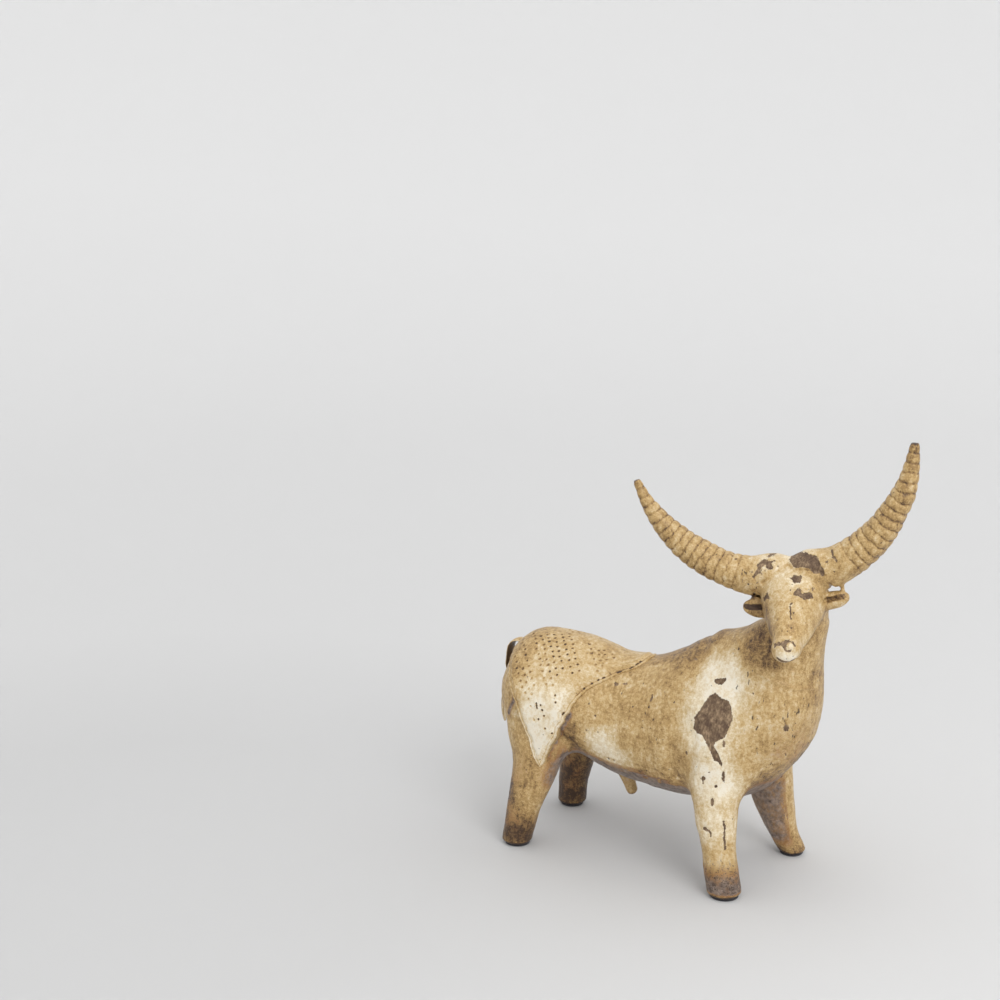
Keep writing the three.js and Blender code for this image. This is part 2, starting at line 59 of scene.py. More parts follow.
# Trunk
RUMP_X = -84.0
RUMP_ROUND = 33.0
LOIN_X = -52.0
SADDLE_X = -20.0
GIRTH_X = 8.0
RUMP_TOP = 152.0
RUMP_BOTTOM = 71.0
SADDLE_TOP = 144.0
FLANK_BOTTOM = 61.0
BELLY_BOTTOM = 52.0
RUMP_WIDTH = 84.0
WAIST_WIDTH = 82.0
CHEST_WIDTH = 92.0
TURN_X = 38.0
TURN_Z = 195.0
WITHERS_REACH = 29.0
CHEST_REACH = 137.0
THROAT_REACH = 97.0
NAPE_REACH = 55.0
NECK_WIDTH = 42.0
NECK_BASE_WIDTH = 57.5
NECK_BASE_REACH = (WITHERS_REACH + NAPE_REACH) / 2 - 4.7
NECK_SEAM_TURN = 58.0
NECK_LENGTH = 32.0
NECK_LEAN = 9.0
LOIN_SAG = 3.4
SADDLE_SAG = 5.0
BRISKET_SWELL = 4.4
CHEST_TUCK = 14.5
TRUNK_SIDES = 56
VENT_X = 14.0
VENT_RADIUS = 7.0
VENT_DEPTH = 11.0

# Head
HEAD_PLACE = (112.5, -13.0, 216.0)
HEAD_YAW = -78.0
HEAD_ROLL = 10.5
FACE_DROP = 31.0
SKULL_HALF = 22.0
SKULL_TALL = 20.5
FACE_LENGTH = 53.0
MUZZLE_RADIUS = 9.2
MUZZLE_SHAPE = (1, 1.08, 0.95)
HEAD_REACH = 67.0
FACE_BEND = 0.6
POLL_LENGTH = 50.0
POLL_RADIUS = 12.0
POLL_HUMP = 3.0
POLL_X = -2.0
POLL_Z = 12.6
HORN_RADIUS = 12.8
HORN_TIP_RADIUS = 2.2
HORN_FORWARD = 4.0
HORN_RIBS = 17
RIB_DEPTH = 1.35
EAR_LENGTH = 20.0
EAR_HEIGHT = 11.8
EAR_THICKNESS = 9.0
EAR_X = 2.0
EAR_DROP = 7.3
EAR_RISE = 2.6
# The lump of clay that holds each ear to the horn over it: place and radii
EAR_LUGS = {1: ((1.5, 33.2, 0.6), (1.6, 1.5, 4.6)), -1: ((1, -26, -4), (4, 4, 4.5))}
EAR_SHAPE = (EAR_THICKNESS / 2, EAR_HEIGHT / 2 + 0.9)
EAR_FOLD = (3.0, 1.7)
EAR_FOLD_PLACE = (4.6, 1.7)
EAR_FOLD_SHIFT = 1.5

# Legs: foot radius and rows of x, y, z, half length, half width from the foot up
PAD_THICKNESS = 2.0
PAD_INSET = 2.0
FOOT_EDGE = 0.14
SHOULDER = [(70, 33, 92, 24, 17), (69, 31, 112, 25, 16.5), (67, 27, 132, 21, 14.5), (65, 20, 150, 11, 9)]
HAUNCH = [(-75, 33, 85, 25, 14.5), (-77, 29.5, 110, 26, 16), (-79, 24, 130, 19, 12.5), (-80, 18, 140, 9, 7)]
LEGS = {
    "front_right": {
        "side": -1,
        "foot": (83.2, 48.2, 12.1),
        "rows": [
            (78.1, 46.3, 28, 12.2, 11.7), (73.6, 43.2, 50, 14.4, 12.8), (70.5, 38.5, 72, 18, 14.5),
            *SHOULDER,
        ],
    },
    "front_left": {
        "side": 1,
        "foot": (95.2, 44.3, 10.4),
        "rows": [
            (86.6, 43, 20, 12.3, 11.4), (80.6, 40.5, 40, 16, 12.7), (77.2, 37.5, 64, 18.6, 14),
            *SHOULDER,
        ],
    },
    "hind_right": {
        "side": -1,
        "foot": (-86.6, 44.2, 11.2),
        "rows": [
            (-83.4, 43.5, 22, 12.2, 11.8), (-78, 40.5, 45, 15.5, 12.8), (-74.4, 36.5, 64, 18.9, 13.5),
            *HAUNCH,
        ],
    },
    "hind_left": {
        "side": 1,
        "foot": (-88.2, 42.6, 10.7),
        "rows": [
            (-86.7, 42, 22, 11.8, 11.4), (-81.5, 40, 45, 14.3, 12.5), (-76.5, 36.5, 64, 17.6, 13.5),
            *HAUNCH,
        ],
    },
}

# Rump blanket
BLANKET_FRONT = 2.0
BLANKET_LENGTH = 114.0
BLANKET_EDGES = [
    (0, 0, 1),
    (22, 0.044, 0.991),
    (33, 0.136, 0.974),
    (45, 0.228, 0.939),
    (60, 0.307, 0.890),
    (75, 0.364, 0.842),
    (89, 0.403, 0.789),
    (97, 0.457, 0.732),
    (103, 0.490, 0.689),
    (108, 0.530, 0.658),
    (112, 0.560, 0.632),
    (114, 0.578, 0.615),
    (115, 0.592, 0.600),
]
HAUNCH_BULGE = 5.5
LAPPET_FLARE = 8.0
LAPPET_REACH = 108.0
CLOTH = 2.6

# Tail
TAIL_WIDTH = 8.5
TAIL_THICKNESS = 2.8
TAIL_TOP = 147.0
TAIL_LOOP = 7.0
TAIL_REJOIN = 45.0
TUFT_BOTTOM = 80.0
TUFT_TWIST = 52.0

# Sheath
SHEATH_RADIUS = 6.5
SHEATH_LENGTH = 22.0
SHEATH_X = -13.0
SHEATH_BOTTOM = 38.5
SHEATH_SLOPE = 22.0

# Widths of the fillets where pieces were luted together
FACE_FILLETS = {"head": 0.5, "muzzle": 3, "poll_roll": 1.4, "horn_left": 5, "horn_right": 5}
SHOULDER_FILLET = 13
HAUNCH_FILLET = 16
COVERED_FILLET = 3
SHEATH_FILLET = 6
EAR_FILLET = 1.6
LUG_FILLET = 1.5
THROAT_FILLET = 3

# From the bull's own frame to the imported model's, by the middle of one pad
pad_low, pad_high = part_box("pad_hind_right")
foot_x, foot_y, _ = LEGS["hind_right"]["foot"]
SHIFT = np.array([(pad_low[0] + pad_high[0]) * 500 - foot_x, (pad_low[1] + pad_high[1]) * 500 + foot_y, 0.0])


# Curves and noise


def smoothstep(value, low, high):
    share = np.clip((value - low) / (high - low), 0, 1)
    return share * share * (3 - 2 * share)


def lerp(a, b, share):
    return a + (b - a) * share


def bump(distance, place, width):
    return np.exp(-(((distance - place) / width) ** 2))


def turns(sides=32):
    """Evenly spaced angles around a ring."""
    return np.arange(sides) / sides * 2 * np.pi


def lengths(vectors):
    return np.linalg.norm(vectors, axis=1)


def unit(vectors):
    return vectors / np.maximum(np.linalg.norm(vectors, axis=-1, keepdims=True), 1e-9)


def smooth_rows(rows, steps):
    """Fills in steps - 1 rows between each two of the given ones, on a smooth curve through them."""
    rows = np.array(rows, float)
    last = len(rows) - 1
    made = []
    for i in range(last):
        a, b, c, d = (rows[min(max(k, 0), last)] for k in (i - 1, i, i + 1, i + 2))
        for step in range(steps):
            t = step / steps
            linear = (c - a) * t
            square = (2 * a - 5 * b + 4 * c - d) * t**2
            cube = (3 * b - a - 3 * c + d) * t**3
            made.append((2 * b + linear + square + cube) / 2)
    made.append(rows[last])
    return np.array(made)


def corner_weights(share):
    """Each corner of a cell, with its weight at places that are given as shares of the cell."""
    for corner in np.ndindex(2, 2, 2):
        yield corner, np.prod(np.where(np.array(corner) == 1, share, 1 - share), axis=1)


def wander(points, size, seed):
    """Smooth noise from -1 to 1 that changes over a distance of size, in the units of the points."""
    count = 32
    lattice = np.random.default_rng(seed).uniform(-1, 1, (count, count, count))
    place = np.asarray(points) / size
    cell = np.floor(place).astype(int)
    total = np.zeros(len(place))
    for corner, weight in corner_weights(smoothstep(place - cell, 0, 1)):
        i, j, k = ((cell + corner) % count).T
        total += weight * lattice[i, j, k]
    return total


def uneven(points, rows):
    """Several grains of that noise together: height, size and seed of each."""
    return sum(height * wander(points, size, seed) for height, size, seed in rows)


def travelled(line):
    """The length along a line up to each of its points."""
    return np.append(0, lengths(np.diff(line, axis=0)).cumsum())


# Lofted forms


def ring_mesh(rings):
    """Points and faces of a closed piece over rings of points, in four-sided faces but for its two ends."""
    count, sides, _ = rings.shape
    points = np.concatenate([rings.reshape(-1, 3), rings[0].mean(0)[None], rings[-1].mean(0)[None]])
    here = np.arange(sides)
    after = (here + 1) % sides
    first = count * sides
    top = (count - 1) * sides
    faces = []
    for row in range(count - 1):
        low = row * sides
        high = low + sides
        faces += np.stack([low + here, low + after, high + after, high + here], axis=1).tolist()
    faces += [(first, int(b), int(a)) for a, b in zip(here, after)]
    faces += [(first + 1, int(top + a), int(top + b)) for a, b in zip(here, after)]
    return points, faces


def loft(rings):
    """The same closed piece in triangles."""
    points, faces = ring_mesh(np.asarray(rings, float))
    corners = [(face[k], face[k + 1], face[-1]) for face in faces for k in range(len(face) - 2)]
    return points, np.array(corners)


def flat_ring(x, y, z, long, wide, sides=32):
    """A level ring of points around a place."""
    around = turns(sides)
    return np.stack([x + long * np.cos(around), y + wide * np.sin(around), np.full(sides, z)], axis=1)


def haunch_swell(x, drop):
    """How far the haunches push out the rump, from 0 to 1, at an angle down from the ridge of the back."""
    drop = np.abs(drop)
    return smoothstep(-x, 20, 60) * smoothstep(drop, 20, 85) * (1 - smoothstep(drop, 105, 150))


def section_ring(row, power=1.0, swell=0.0):
    """The points of one section x, y, z, turn, tall, half, egg. A power under 1 squares it off."""
    x, y, z, turn, tall, half, egg = row
    angle = turns(TRUNK_SIDES)
    drop = np.degrees(np.abs((angle - np.pi / 2 + np.pi) % (2 * np.pi) - np.pi))
    wide = half + swell * haunch_swell(x, drop)
    cosine = np.sign(np.cos(angle)) * np.abs(np.cos(angle)) ** power
    sine = np.sign(np.sin(angle)) * np.abs(np.sin(angle)) ** power
    across = wide * cosine * (1 - egg * sine)
    rise = tall * sine
    lean = math.radians(turn)
    return np.stack([x - rise * math.sin(lean), y + across, z + rise * math.cos(lean)], axis=1)


def barrel_section(x, top, bottom, width, egg):
    return (x, 0, (top + bottom) / 2, 0, (top - bottom) / 2, width / 2, egg)


def turned_section(turn, near, far, width, egg, lean):
    middle = (near + far) / 2
    x = TURN_X + middle * math.sin(math.radians(turn))
    z = TURN_Z - middle * math.cos(math.radians(turn))
    return (x, -NECK_LEAN * lean, z, turn, (far - near) / 2, width / 2, egg)


TRUNK_STEPS = 6
rump_section = barrel_section(RUMP_X, RUMP_TOP, RUMP_BOTTOM, RUMP_WIDTH, 0.05)
trunk = smooth_rows(
    [
        rump_section,
        barrel_section(LOIN_X, RUMP_TOP - 1.5, RUMP_BOTTOM - LOIN_SAG, RUMP_WIDTH, 0.08),
        barrel_section(SADDLE_X, SADDLE_TOP, FLANK_BOTTOM - SADDLE_SAG, WAIST_WIDTH, 0.08),
        barrel_section(GIRTH_X, SADDLE_TOP + 6, BELLY_BOTTOM + 1, WAIST_WIDTH + 4, 0.12),
        turned_section(0, WITHERS_REACH, TURN_Z - BELLY_BOTTOM, CHEST_WIDTH, 0.2, 0),
        turned_section(20, WITHERS_REACH - 3, CHEST_REACH + BRISKET_SWELL, CHEST_WIDTH, 0.24, 0),
        turned_section(45, WITHERS_REACH - 3, CHEST_REACH - CHEST_TUCK, CHEST_WIDTH * 0.86, 0.2, 0.15),
        turned_section(70, NECK_BASE_REACH, THROAT_REACH + 1, NECK_BASE_WIDTH, 0.1, 0.5),
        turned_section(90, NAPE_REACH, THROAT_REACH, NECK_WIDTH, 0, 0.8),
    ],
    TRUNK_STEPS,
)
upright = trunk[: 4 * TRUNK_STEPS + 1]
before = trunk[trunk[:, 3] < NECK_SEAM_TURN][-1]
after = trunk[trunk[:, 3] > NECK_SEAM_TURN][0]
neck_seam = lerp(before, after, (NECK_SEAM_TURN - before[3]) / (after[3] - before[3]))
SKIN_SWELL = HAUNCH_BULGE - 1.5


def trunk_form():
    rings = []
    for degrees in (88, 80, 70, 60, 50, 40, 30, 20, 10):
        share = math.cos(math.radians(degrees))
        row = np.array(rump_section)
        row[4:6] *= share
        ring = section_ring(row, swell=SKIN_SWELL * share)
        ring[:, 0] -= RUMP_ROUND * math.sin(math.radians(degrees))
        rings.append(ring)
    rings += [section_ring(row, swell=SKIN_SWELL) for row in trunk]
    top = trunk[-1]
    for share in np.linspace(0.08, 0.98, 12):
        row = top.copy()
        row[1] = -NECK_LEAN
        row[2] += NECK_LENGTH * share
        row[4:6] *= math.sqrt(1 - max(0, (share - 0.5) / 0.5) ** 2)
        rings.append(section_ring(row))
    return loft(rings)


# Head forms, in the head's own frame: +X to the muzzle, +Y to the bull's left ear, +Z up

yaw = math.radians(HEAD_YAW)
roll = math.radians(HEAD_ROLL)
HEAD_TURN = np.array(
    [[math.cos(yaw), -math.sin(yaw), 0], [math.sin(yaw), math.cos(yaw), 0], [0, 0, 1]]
) @ np.array([[1, 0, 0], [0, math.cos(roll), -math.sin(roll)], [0, math.sin(roll), math.cos(roll)]])


def from_head(points):
    return np.asarray(points) @ HEAD_TURN.T + HEAD_PLACE


def to_head(points):
    return (np.asarray(points) - HEAD_PLACE) @ HEAD_TURN


def head_loft(rings):
    """A closed skin over rings in the head's frame, put into the bull's own frame."""
    points, faces = loft(rings)
    return from_head(points), faces


def face_section(along, half, tall, egg=0.0):
    slope = math.radians(FACE_DROP)
    bend = -FACE_BEND * min(max(along / FACE_LENGTH, 0), 1)
    return (along * math.cos(slope), bend, -along * math.sin(slope), -FACE_DROP, tall, half, egg)


def skull_form():
    # Place along the face, half width, half height and how egg-shaped
    shares = [
        (-SKULL_TALL + 1, 0.4, 0.4, 0),
        (-SKULL_TALL * 0.7, 0.82, 0.8, 0),
        (-1, 1, 1, 0),
        (FACE_LENGTH * 0.24, 0.95, 0.93, 0.1),
        (FACE_LENGTH * 0.48, 0.77, 0.78, 0.22),
        (FACE_LENGTH * 0.72, 0.58, 0.62, 0.25),
        (FACE_LENGTH * 0.9, 0.44, 0.48, 0.18),
        (FACE_LENGTH, 0.38, 0.4, 0.1),
    ]
    rows = [
        face_section(along, half * SKULL_HALF, tall * SKULL_TALL, egg)
        for along, half, tall, egg in shares
    ]
    return head_loft([section_ring(row, power=0.86) for row in smooth_rows(rows, 5)])


def ball(centre, radii):
    """A closed ellipsoid in the head's frame, whose poles lie along Y."""
    around = turns()
    rings = []
    rows = 20
    for row in range(1, rows):
        angle = math.pi * row / rows
        width = math.sin(angle)
        line = np.full(len(around), -math.cos(angle))
        rings.append(np.stack([np.cos(around) * width, line, np.sin(around) * width], 1) * radii + centre)
    return head_loft(rings)


def muzzle_form():
    tip = face_section(FACE_LENGTH, 0, 0)
    return ball(tip[:3], MUZZLE_RADIUS * np.array(MUZZLE_SHAPE))


def poll_form():
    around = turns(40)
    rings = []
    for share in np.linspace(-1, 1, 25):
        radius = POLL_RADIUS + POLL_HUMP * math.cos((abs(share) - 0.55) * math.pi)
        line = np.full(len(around), share * (POLL_LENGTH / 2))
        rings.append(np.stack([POLL_X + radius * np.cos(around), line, POLL_Z + radius * np.sin(around)], 1))
    return head_loft(rings)


# Each horn: its slope at the roll and at the tip, the share of it without ribs, and its tone at both ends
HORNS = {
    "horn_left": {
        "side": 1, "length": 110.6, "start": 19.0, "end": 79.8,
        "plain": 0.1, "taper": 1.85, "tones": (0.54, 0.42),
    },
    "horn_right": {
        "side": -1, "length": 110.0, "start": 16.0, "end": 78.0,
        "plain": 0.02, "taper": 1.7, "tones": (0.55, 0.48),
    },
}


def horn_arc(horn):
    """A horn's slope at the roll and at its tip, and the radius of the arc between them."""
    start = math.radians(horn["start"])
    end = math.radians(horn["end"])
    return start, end, horn["length"] / (end - start)


def horn_line(horn, shares):
    """Centre, slope and radius along a horn, from 0 at the roll to 1 at the tip."""
    start, end, arc = horn_arc(horn)
    slope = lerp(start, end, shares)
    outward = POLL_LENGTH / 2 + arc * (np.sin(slope) - math.sin(start))
    rise = POLL_Z + arc * (math.cos(start) - np.cos(slope))
    centre = np.stack([POLL_X + HORN_FORWARD * shares, horn["side"] * outward, rise], axis=-1)
    radius = lerp(HORN_RADIUS, HORN_TIP_RADIUS, shares ** horn["taper"]) + 0.4 * (1 - 0.3 * shares)
    return centre, slope, radius


def horn_form(horn):
    around = turns()
    rings = []
    for share in np.linspace(0, 1, 60):
        centre, slope, radius = horn_line(horn, share)
        tall = radius * np.sin(around)
        across = radius * np.cos(around)
        lean = -horn["side"] * math.sin(slope) * tall
        rings.append(np.stack([across, lean, math.cos(slope) * tall], 1) + centre)
    return head_loft(rings)


def ear_line(side, shares):
    """Places along the middle of an ear, from 0 inside the skull to 1 at its tip."""
    length, drop = (EAR_LENGTH, EAR_DROP) if side > 0 else (EAR_LENGTH - 1.6, EAR_DROP + 1.2)
    out = SKULL_HALF - 4 + (length - 0.5) * shares
    return np.stack([EAR_X + 0 * shares, side * out, -drop - 1.6 + EAR_RISE * shares], axis=-1)


def ear_form(side, shape=EAR_SHAPE, offset=(0, 0, 0)):
    """A leaf along the ear's line. The shape gives its half thickness and half height at the widest place."""
    around = turns()
    rings = []
    for share in np.linspace(0.02, 0.98, 20):
        width = (1 - (2 * max(share, 0.5) - 1) ** 2) ** 0.5
        ring = np.stack([np.cos(around) * shape[0], 0 * around, np.sin(around) * shape[1]], 1) * width
        rings.append(ring * (1 - 0.2 * share) + ear_line(side, share) + offset)
    return head_loft(rings if side > 0 else rings[::-1])


# Legs and sheath


def leg_form(leg):
    x, y, radius = leg["foot"]
    edge = radius * FOOT_EDGE
    base = (x, y, PAD_THICKNESS, radius - edge, radius - edge)
    rim = (x, y, PAD_THICKNESS + edge, radius, radius)
    rows = [base, *smooth_rows([rim, *leg["rows"]], 5)]
    return loft([flat_ring(px, leg["side"] * py, pz, long, wide, 36) for px, py, pz, long, wide in rows])


def sheath_form():
    small = SHEATH_RADIUS * 0.62
    profile = [(small * math.sin(a), small * (1 - math.cos(a))) for a in np.radians([12, 30, 48, 66, 90])]
    profile.append((SHEATH_RADIUS, SHEATH_LENGTH))
    around = turns(28)
    slope = math.radians(SHEATH_SLOPE)
    rings = []
    for radius, up in profile:
        x = radius * np.cos(around)
        y = radius * np.sin(around)
        across = x * math.cos(slope) - up * math.sin(slope)
        rise = x * math.sin(slope) + up * math.cos(slope)
        rings.append(np.stack([SHEATH_X + across, y, SHEATH_BOTTOM + rise], 1))
    return loft(rings)


def vent_form():
    heights = (BELLY_BOTTOM - 8, BELLY_BOTTOM, BELLY_BOTTOM + VENT_DEPTH)
    return loft([flat_ring(VENT_X, 0, height, VENT_RADIUS, VENT_RADIUS) for height in heights])


# Distance fields, on one lattice of voxels


class Field:
    """Distances in mm to a form's skin, negative inside, on a block of the lattice."""

    def __init__(self, values, corner):
        self.values = values
        self.corner = np.array(corner)

    @classmethod
    def of(cls, form):
        points, faces = form
        step = openvdb.createLinearTransform(VOXEL)
        grid = openvdb.FloatGrid.createLevelSetFromPolygons(
            points.astype(np.float32),
            triangles=faces.astype(np.uint32),
            transform=step,
            halfWidth=BAND / VOXEL,
        )
        reach = math.ceil(BAND / VOXEL)
        low = np.floor(points.min(0) / VOXEL).astype(int) - reach
        high = np.ceil(points.max(0) / VOXEL).astype(int) + reach
        values = np.empty(high - low + 1, np.float32)
        grid.copyToArray(values, ijk=tuple(int(v) for v in low))
        return cls(values, low)

    def at(self, points):
        """The distance at each point, by linear interpolation."""
        place = np.asarray(points) / VOXEL - self.corner
        limit = np.array(self.values.shape) - 1
        outside = ((place < 0) | (place > limit)).any(1)
        place = np.clip(place, 0, limit - 1e-4)
        cell = np.floor(place).astype(int)
        total = np.zeros(len(place))
        for corner, weight in corner_weights(place - cell):
            i, j, k = np.minimum(cell + corner, limit).T
            total += weight * self.values[i, j, k]
        total[outside] = BAND
        return total

    def slope(self, points):
        """The unit direction away from the skin at each point."""
        away = np.zeros((len(points), 3))
        for axis in range(3):
            step = np.zeros(3)
            step[axis] = VOXEL
            away[:, axis] = self.at(points + step) - self.at(points - step)
        return unit(away)

    def window(self, other):
        """The part of this field's block that another field's block covers."""
        start = other.corner - self.corner
        return tuple(slice(int(s), int(s) + n) for s, n in zip(start, other.values.shape))

    def heights(self, other):
        """The height in mm of each voxel layer of another field's block."""
        return (other.corner[2] + np.arange(other.values.shape[2])) * VOXEL

    def join(self, other, round_off):
        """Adds a form, with a fillet of the given width where the two meet."""
        part = self.window(other)
        mine = self.values[part]
        near = np.clip(round_off - np.abs(mine - other.values), 0, None) / round_off
        self.values[part] = np.minimum(mine, other.values) - near * near * round_off / 4

    def cut(self, other, round_off):
        """Takes a form away, with its edges rounded."""
        part = self.window(other)
        mine = self.values[part]
        near = np.clip(round_off - np.abs(mine + other.values), 0, None) / round_off
        self.values[part] = np.maximum(mine, -other.values) + near * near * round_off / 4

    def skin(self):
        """The skin as points and four-sided or three-sided faces."""
        grid = openvdb.FloatGrid(BAND)
        grid.copyFromArray(self.values, ijk=tuple(int(v) for v in self.corner))
        grid.transform = openvdb.createLinearTransform(VOXEL)
        grid.gridClass = openvdb.GridClass.LEVEL_SET
        points, triangles, quads = grid.convertToPolygons(isovalue=0.0, adaptivity=0.0)
        return points.astype(float), triangles, quads


# Distance fields of the pieces, and the clay that they make together


def form_fields():
    forms = {
        "trunk": trunk_form(),
        "head": skull_form(),
        "muzzle": muzzle_form(),
        "poll_roll": poll_form(),
        "sheath": sheath_form(),
        "ear_left": ear_form(1),
        "ear_right": ear_form(-1),
    }
    forms |= {name: horn_form(horn) for name, horn in HORNS.items()}
    forms |= {"leg_" + name: leg_form(leg) for name, leg in LEGS.items()}
    return {name: Field.of(form) for name, form in forms.items()}


def joined_clay(fields):
    """One field of the whole bull, its pieces luted together with soft fillets."""
    low = np.min([field.corner for field in fields.values()], axis=0) - 2
    high = np.max([field.corner + field.values.shape for field in fields.values()], axis=0) + 2
    clay = Field(np.full(high - low, BAND, np.float32), low)
    face = Field(clay.values.copy(), low)
    clay.join(fields["trunk"], 0.5)
    for name in ("leg_front_right", "leg_front_left"):
        clay.join(fields[name], SHOULDER_FILLET)
    for name in ("leg_hind_right", "leg_hind_left"):
        under_blanket = smoothstep(clay.heights(fields[name]), 72, 95)
        clay.join(fields[name], lerp(HAUNCH_FILLET, COVERED_FILLET, under_blanket)[None, None, :])
    clay.join(fields["sheath"], SHEATH_FILLET)
    for name, fillet in FACE_FILLETS.items():
        face.join(fields[name], fillet)
    for side, name in ((1, "ear_left"), (-1, "ear_right")):
        face.join(fields[name], EAR_FILLET)
        place = (EAR_FOLD_PLACE[0], -side * EAR_FOLD_SHIFT, EAR_FOLD_PLACE[1])
        face.cut(Field.of(ear_form(side, EAR_FOLD, place)), 0.8)
    for place, radii in EAR_LUGS.values():
        face.join(Field.of(ball(place, radii)), LUG_FILLET)
    clay.join(face, THROAT_FILLET)
    clay.cut(Field.of(vent_form()), 1.5)
    return clay


fields = form_fields()
clay = joined_clay(fields)


# Where the rump blanket lies over the trunk


def blanket_point(x, drop, grow):
    """A point over the trunk, at a place along the back and an angle down from the ridge, raised by grow."""
    behind = np.arcsin(np.clip((RUMP_X - x) / RUMP_ROUND, 0, 1))
    share = np.cos(behind)
    place = np.maximum(x, RUMP_X)
    level, tall, half, egg = (np.interp(place, upright[:, 0], upright[:, k]) for k in (2, 4, 5, 6))
    sine = np.cos(np.radians(drop))
    haunch = smoothstep(-x, 20, 60) * smoothstep(np.abs(drop), 20, 85)
    across = (half + HAUNCH_BULGE * haunch + grow) * np.sin(np.radians(np.abs(drop)))
    across = across * (1 - egg * np.maximum(sine, 0)) + LAPPET_FLARE * np.maximum(-sine, 0)
    rise = np.where(sine > 0, tall + grow, LAPPET_REACH) * sine
    along = np.where(x < RUMP_X, RUMP_X - (RUMP_ROUND + grow) * np.sin(behind), x)
    return np.stack([along, np.sign(drop) * share * across, level + share * rise], axis=-1)


def along_back(x):
    """Length along the back from the start of the rump's round end, negative behind it."""
    behind = np.arcsin(np.clip((RUMP_X - x) / RUMP_ROUND, 0, 1))
    return np.where(x < RUMP_X, -RUMP_ROUND * behind, x - RUMP_X)


def place_of(length):
    return np.where(length < 0, RUMP_X + RUMP_ROUND * np.sin(length / RUMP_ROUND), RUMP_X + length)


def on_clay(places):
    """The nearest places on the skin of the clay."""
    return places - clay.slope(places) * clay.at(places)[:, None]


edge_rows = smooth_rows(BLANKET_EDGES, 6)


def blanket_edge(drop, column):
    share = np.interp(np.abs(drop), edge_rows[:, 0], edge_rows[:, column])
    return BLANKET_FRONT - share * BLANKET_LENGTH


# Skin: points in mm with their normals, four-sided faces, and what the glaze does at each point, with painted
# shade drawn into the same marks


UNWORN = -5.0


class Skin:
    def __init__(self, points, quads):
        self.points = points
        self.quads = quads
        self.lift = np.zeros(len(points))
        # Besides real thin glaze, stains and losses, the bare, stain and worn marks also carry painted shade
        # in places.
        self.marks = {name: np.zeros(len(points)) for name in ("cream", "bare", "stain")}
        self.marks["worn"] = np.full(len(points), UNWORN)
        self.grooves = np.zeros(len(points))
        self.find_normals()

    def find_normals(self):
        a, b, c, d = (self.points[self.quads[:, k]] for k in range(4))
        across = np.cross(c - a, d - b)
        total = np.zeros_like(self.points)
        for axis in range(3):
            for k in range(4):
                total[:, axis] += np.bincount(self.quads[:, k], across[:, axis], len(total))
        self.normals = unit(total)

    def raise_skin(self):
        """Moves each point along its normal by the lift gathered so far."""
        self.points = self.points + self.normals * self.lift[:, None]
        self.lift[:] = 0
        self.find_normals()

    def press(self, centre, along, half_long, half_wide, depth, stain=0.0):
        """An oval mark in the clay, pressed in where depth is positive."""
        offset = self.points - centre
        near = np.flatnonzero((offset**2).sum(1) < (1.6 * half_long) ** 2)
        offset = offset[near]
        lengthwise = offset @ along
        across = np.sqrt(np.maximum((offset**2).sum(1) - lengthwise**2, 0))
        inside = smoothstep(1.35 - np.hypot(lengthwise / half_long, across / half_wide), 0, 0.7)
        self.lift[near] -= depth * inside
        self.marks["stain"][near] = np.maximum(self.marks["stain"][near], stain * inside)

    def ridge(self, route, half_wide, height):
        """A raised line over a route of places."""
        for start, end in zip(route, route[1:]):
            start, along = np.array(start, float), np.array(end, float) - start
            share = np.clip((self.points - start) @ along / (along @ along), 0, 1)
            gap = lengths(self.points - start - share[:, None] * along)
            self.lift = np.maximum(self.lift, height * smoothstep(1 - gap / half_wide, 0, 1))

    def around(self, centre, radius):
        """How near each point is to a place, from 1 close to it to 0 at the radius."""
        return smoothstep(1 - lengths(self.points - centre) / radius, 0, 0.8)

    def tint(self, centre, radius, value, name="cream"):
        """Draws a mark's value towards the given one around a place."""
        self.marks[name] = lerp(self.marks[name], value, self.around(centre, radius))

    def deepen(self, name, values):
        self.marks[name] = np.maximum(self.marks[name], values)

    def wear(self, where, u, v, outlines=(), spots=(), strokes=()):
        """Losses in the glaze, drawn on the plane of u and v and kept to the points where they belong."""
        gaps = [outline_distance(u, v, outline) for outline in outlines]
        gaps += [spot_distance(u, v, spot) for spot in spots]
        gaps += [width / 2 - route_distance(u, v, route) for route, width in strokes]
        for gap in gaps:
            self.deepen("worn", np.where(where, gap, UNWORN))


def route_distance(u, v, route):
    """The distance in mm from each point to the nearest stretch of a route."""
    nearest = np.full(len(u), 1e9)
    for (au, av), (bu, bv) in zip(route, route[1:]):
        du, dv = bu - au, bv - av
        share = np.clip(((u - au) * du + (v - av) * dv) / (du * du + dv * dv), 0, 1)
        nearest = np.minimum(nearest, np.hypot(u - au - share * du, v - av - share * dv))
    return nearest


def outline_distance(u, v, outline):
    """How far inside an outline each point lies, in mm, negative outside."""
    closed = [*outline, outline[0]]
    nearest = route_distance(u, v, closed)
    inside = np.zeros(len(u), bool)
    for (au, av), (bu, bv) in zip(closed, closed[1:]):
        crosses = (av > v) != (bv > v)
        inside ^= crosses & (u < au + (v - av) * (bu - au) / ((bv - av) or 1e-9))
    return np.where(inside, nearest, -nearest)


def spot_distance(u, v, spot):
    across, rise, half_across, half_rise = spot
    reach = np.hypot((u - across) / half_across, (v - rise) / half_rise)
    return (1 - reach) * min(half_across, half_rise)


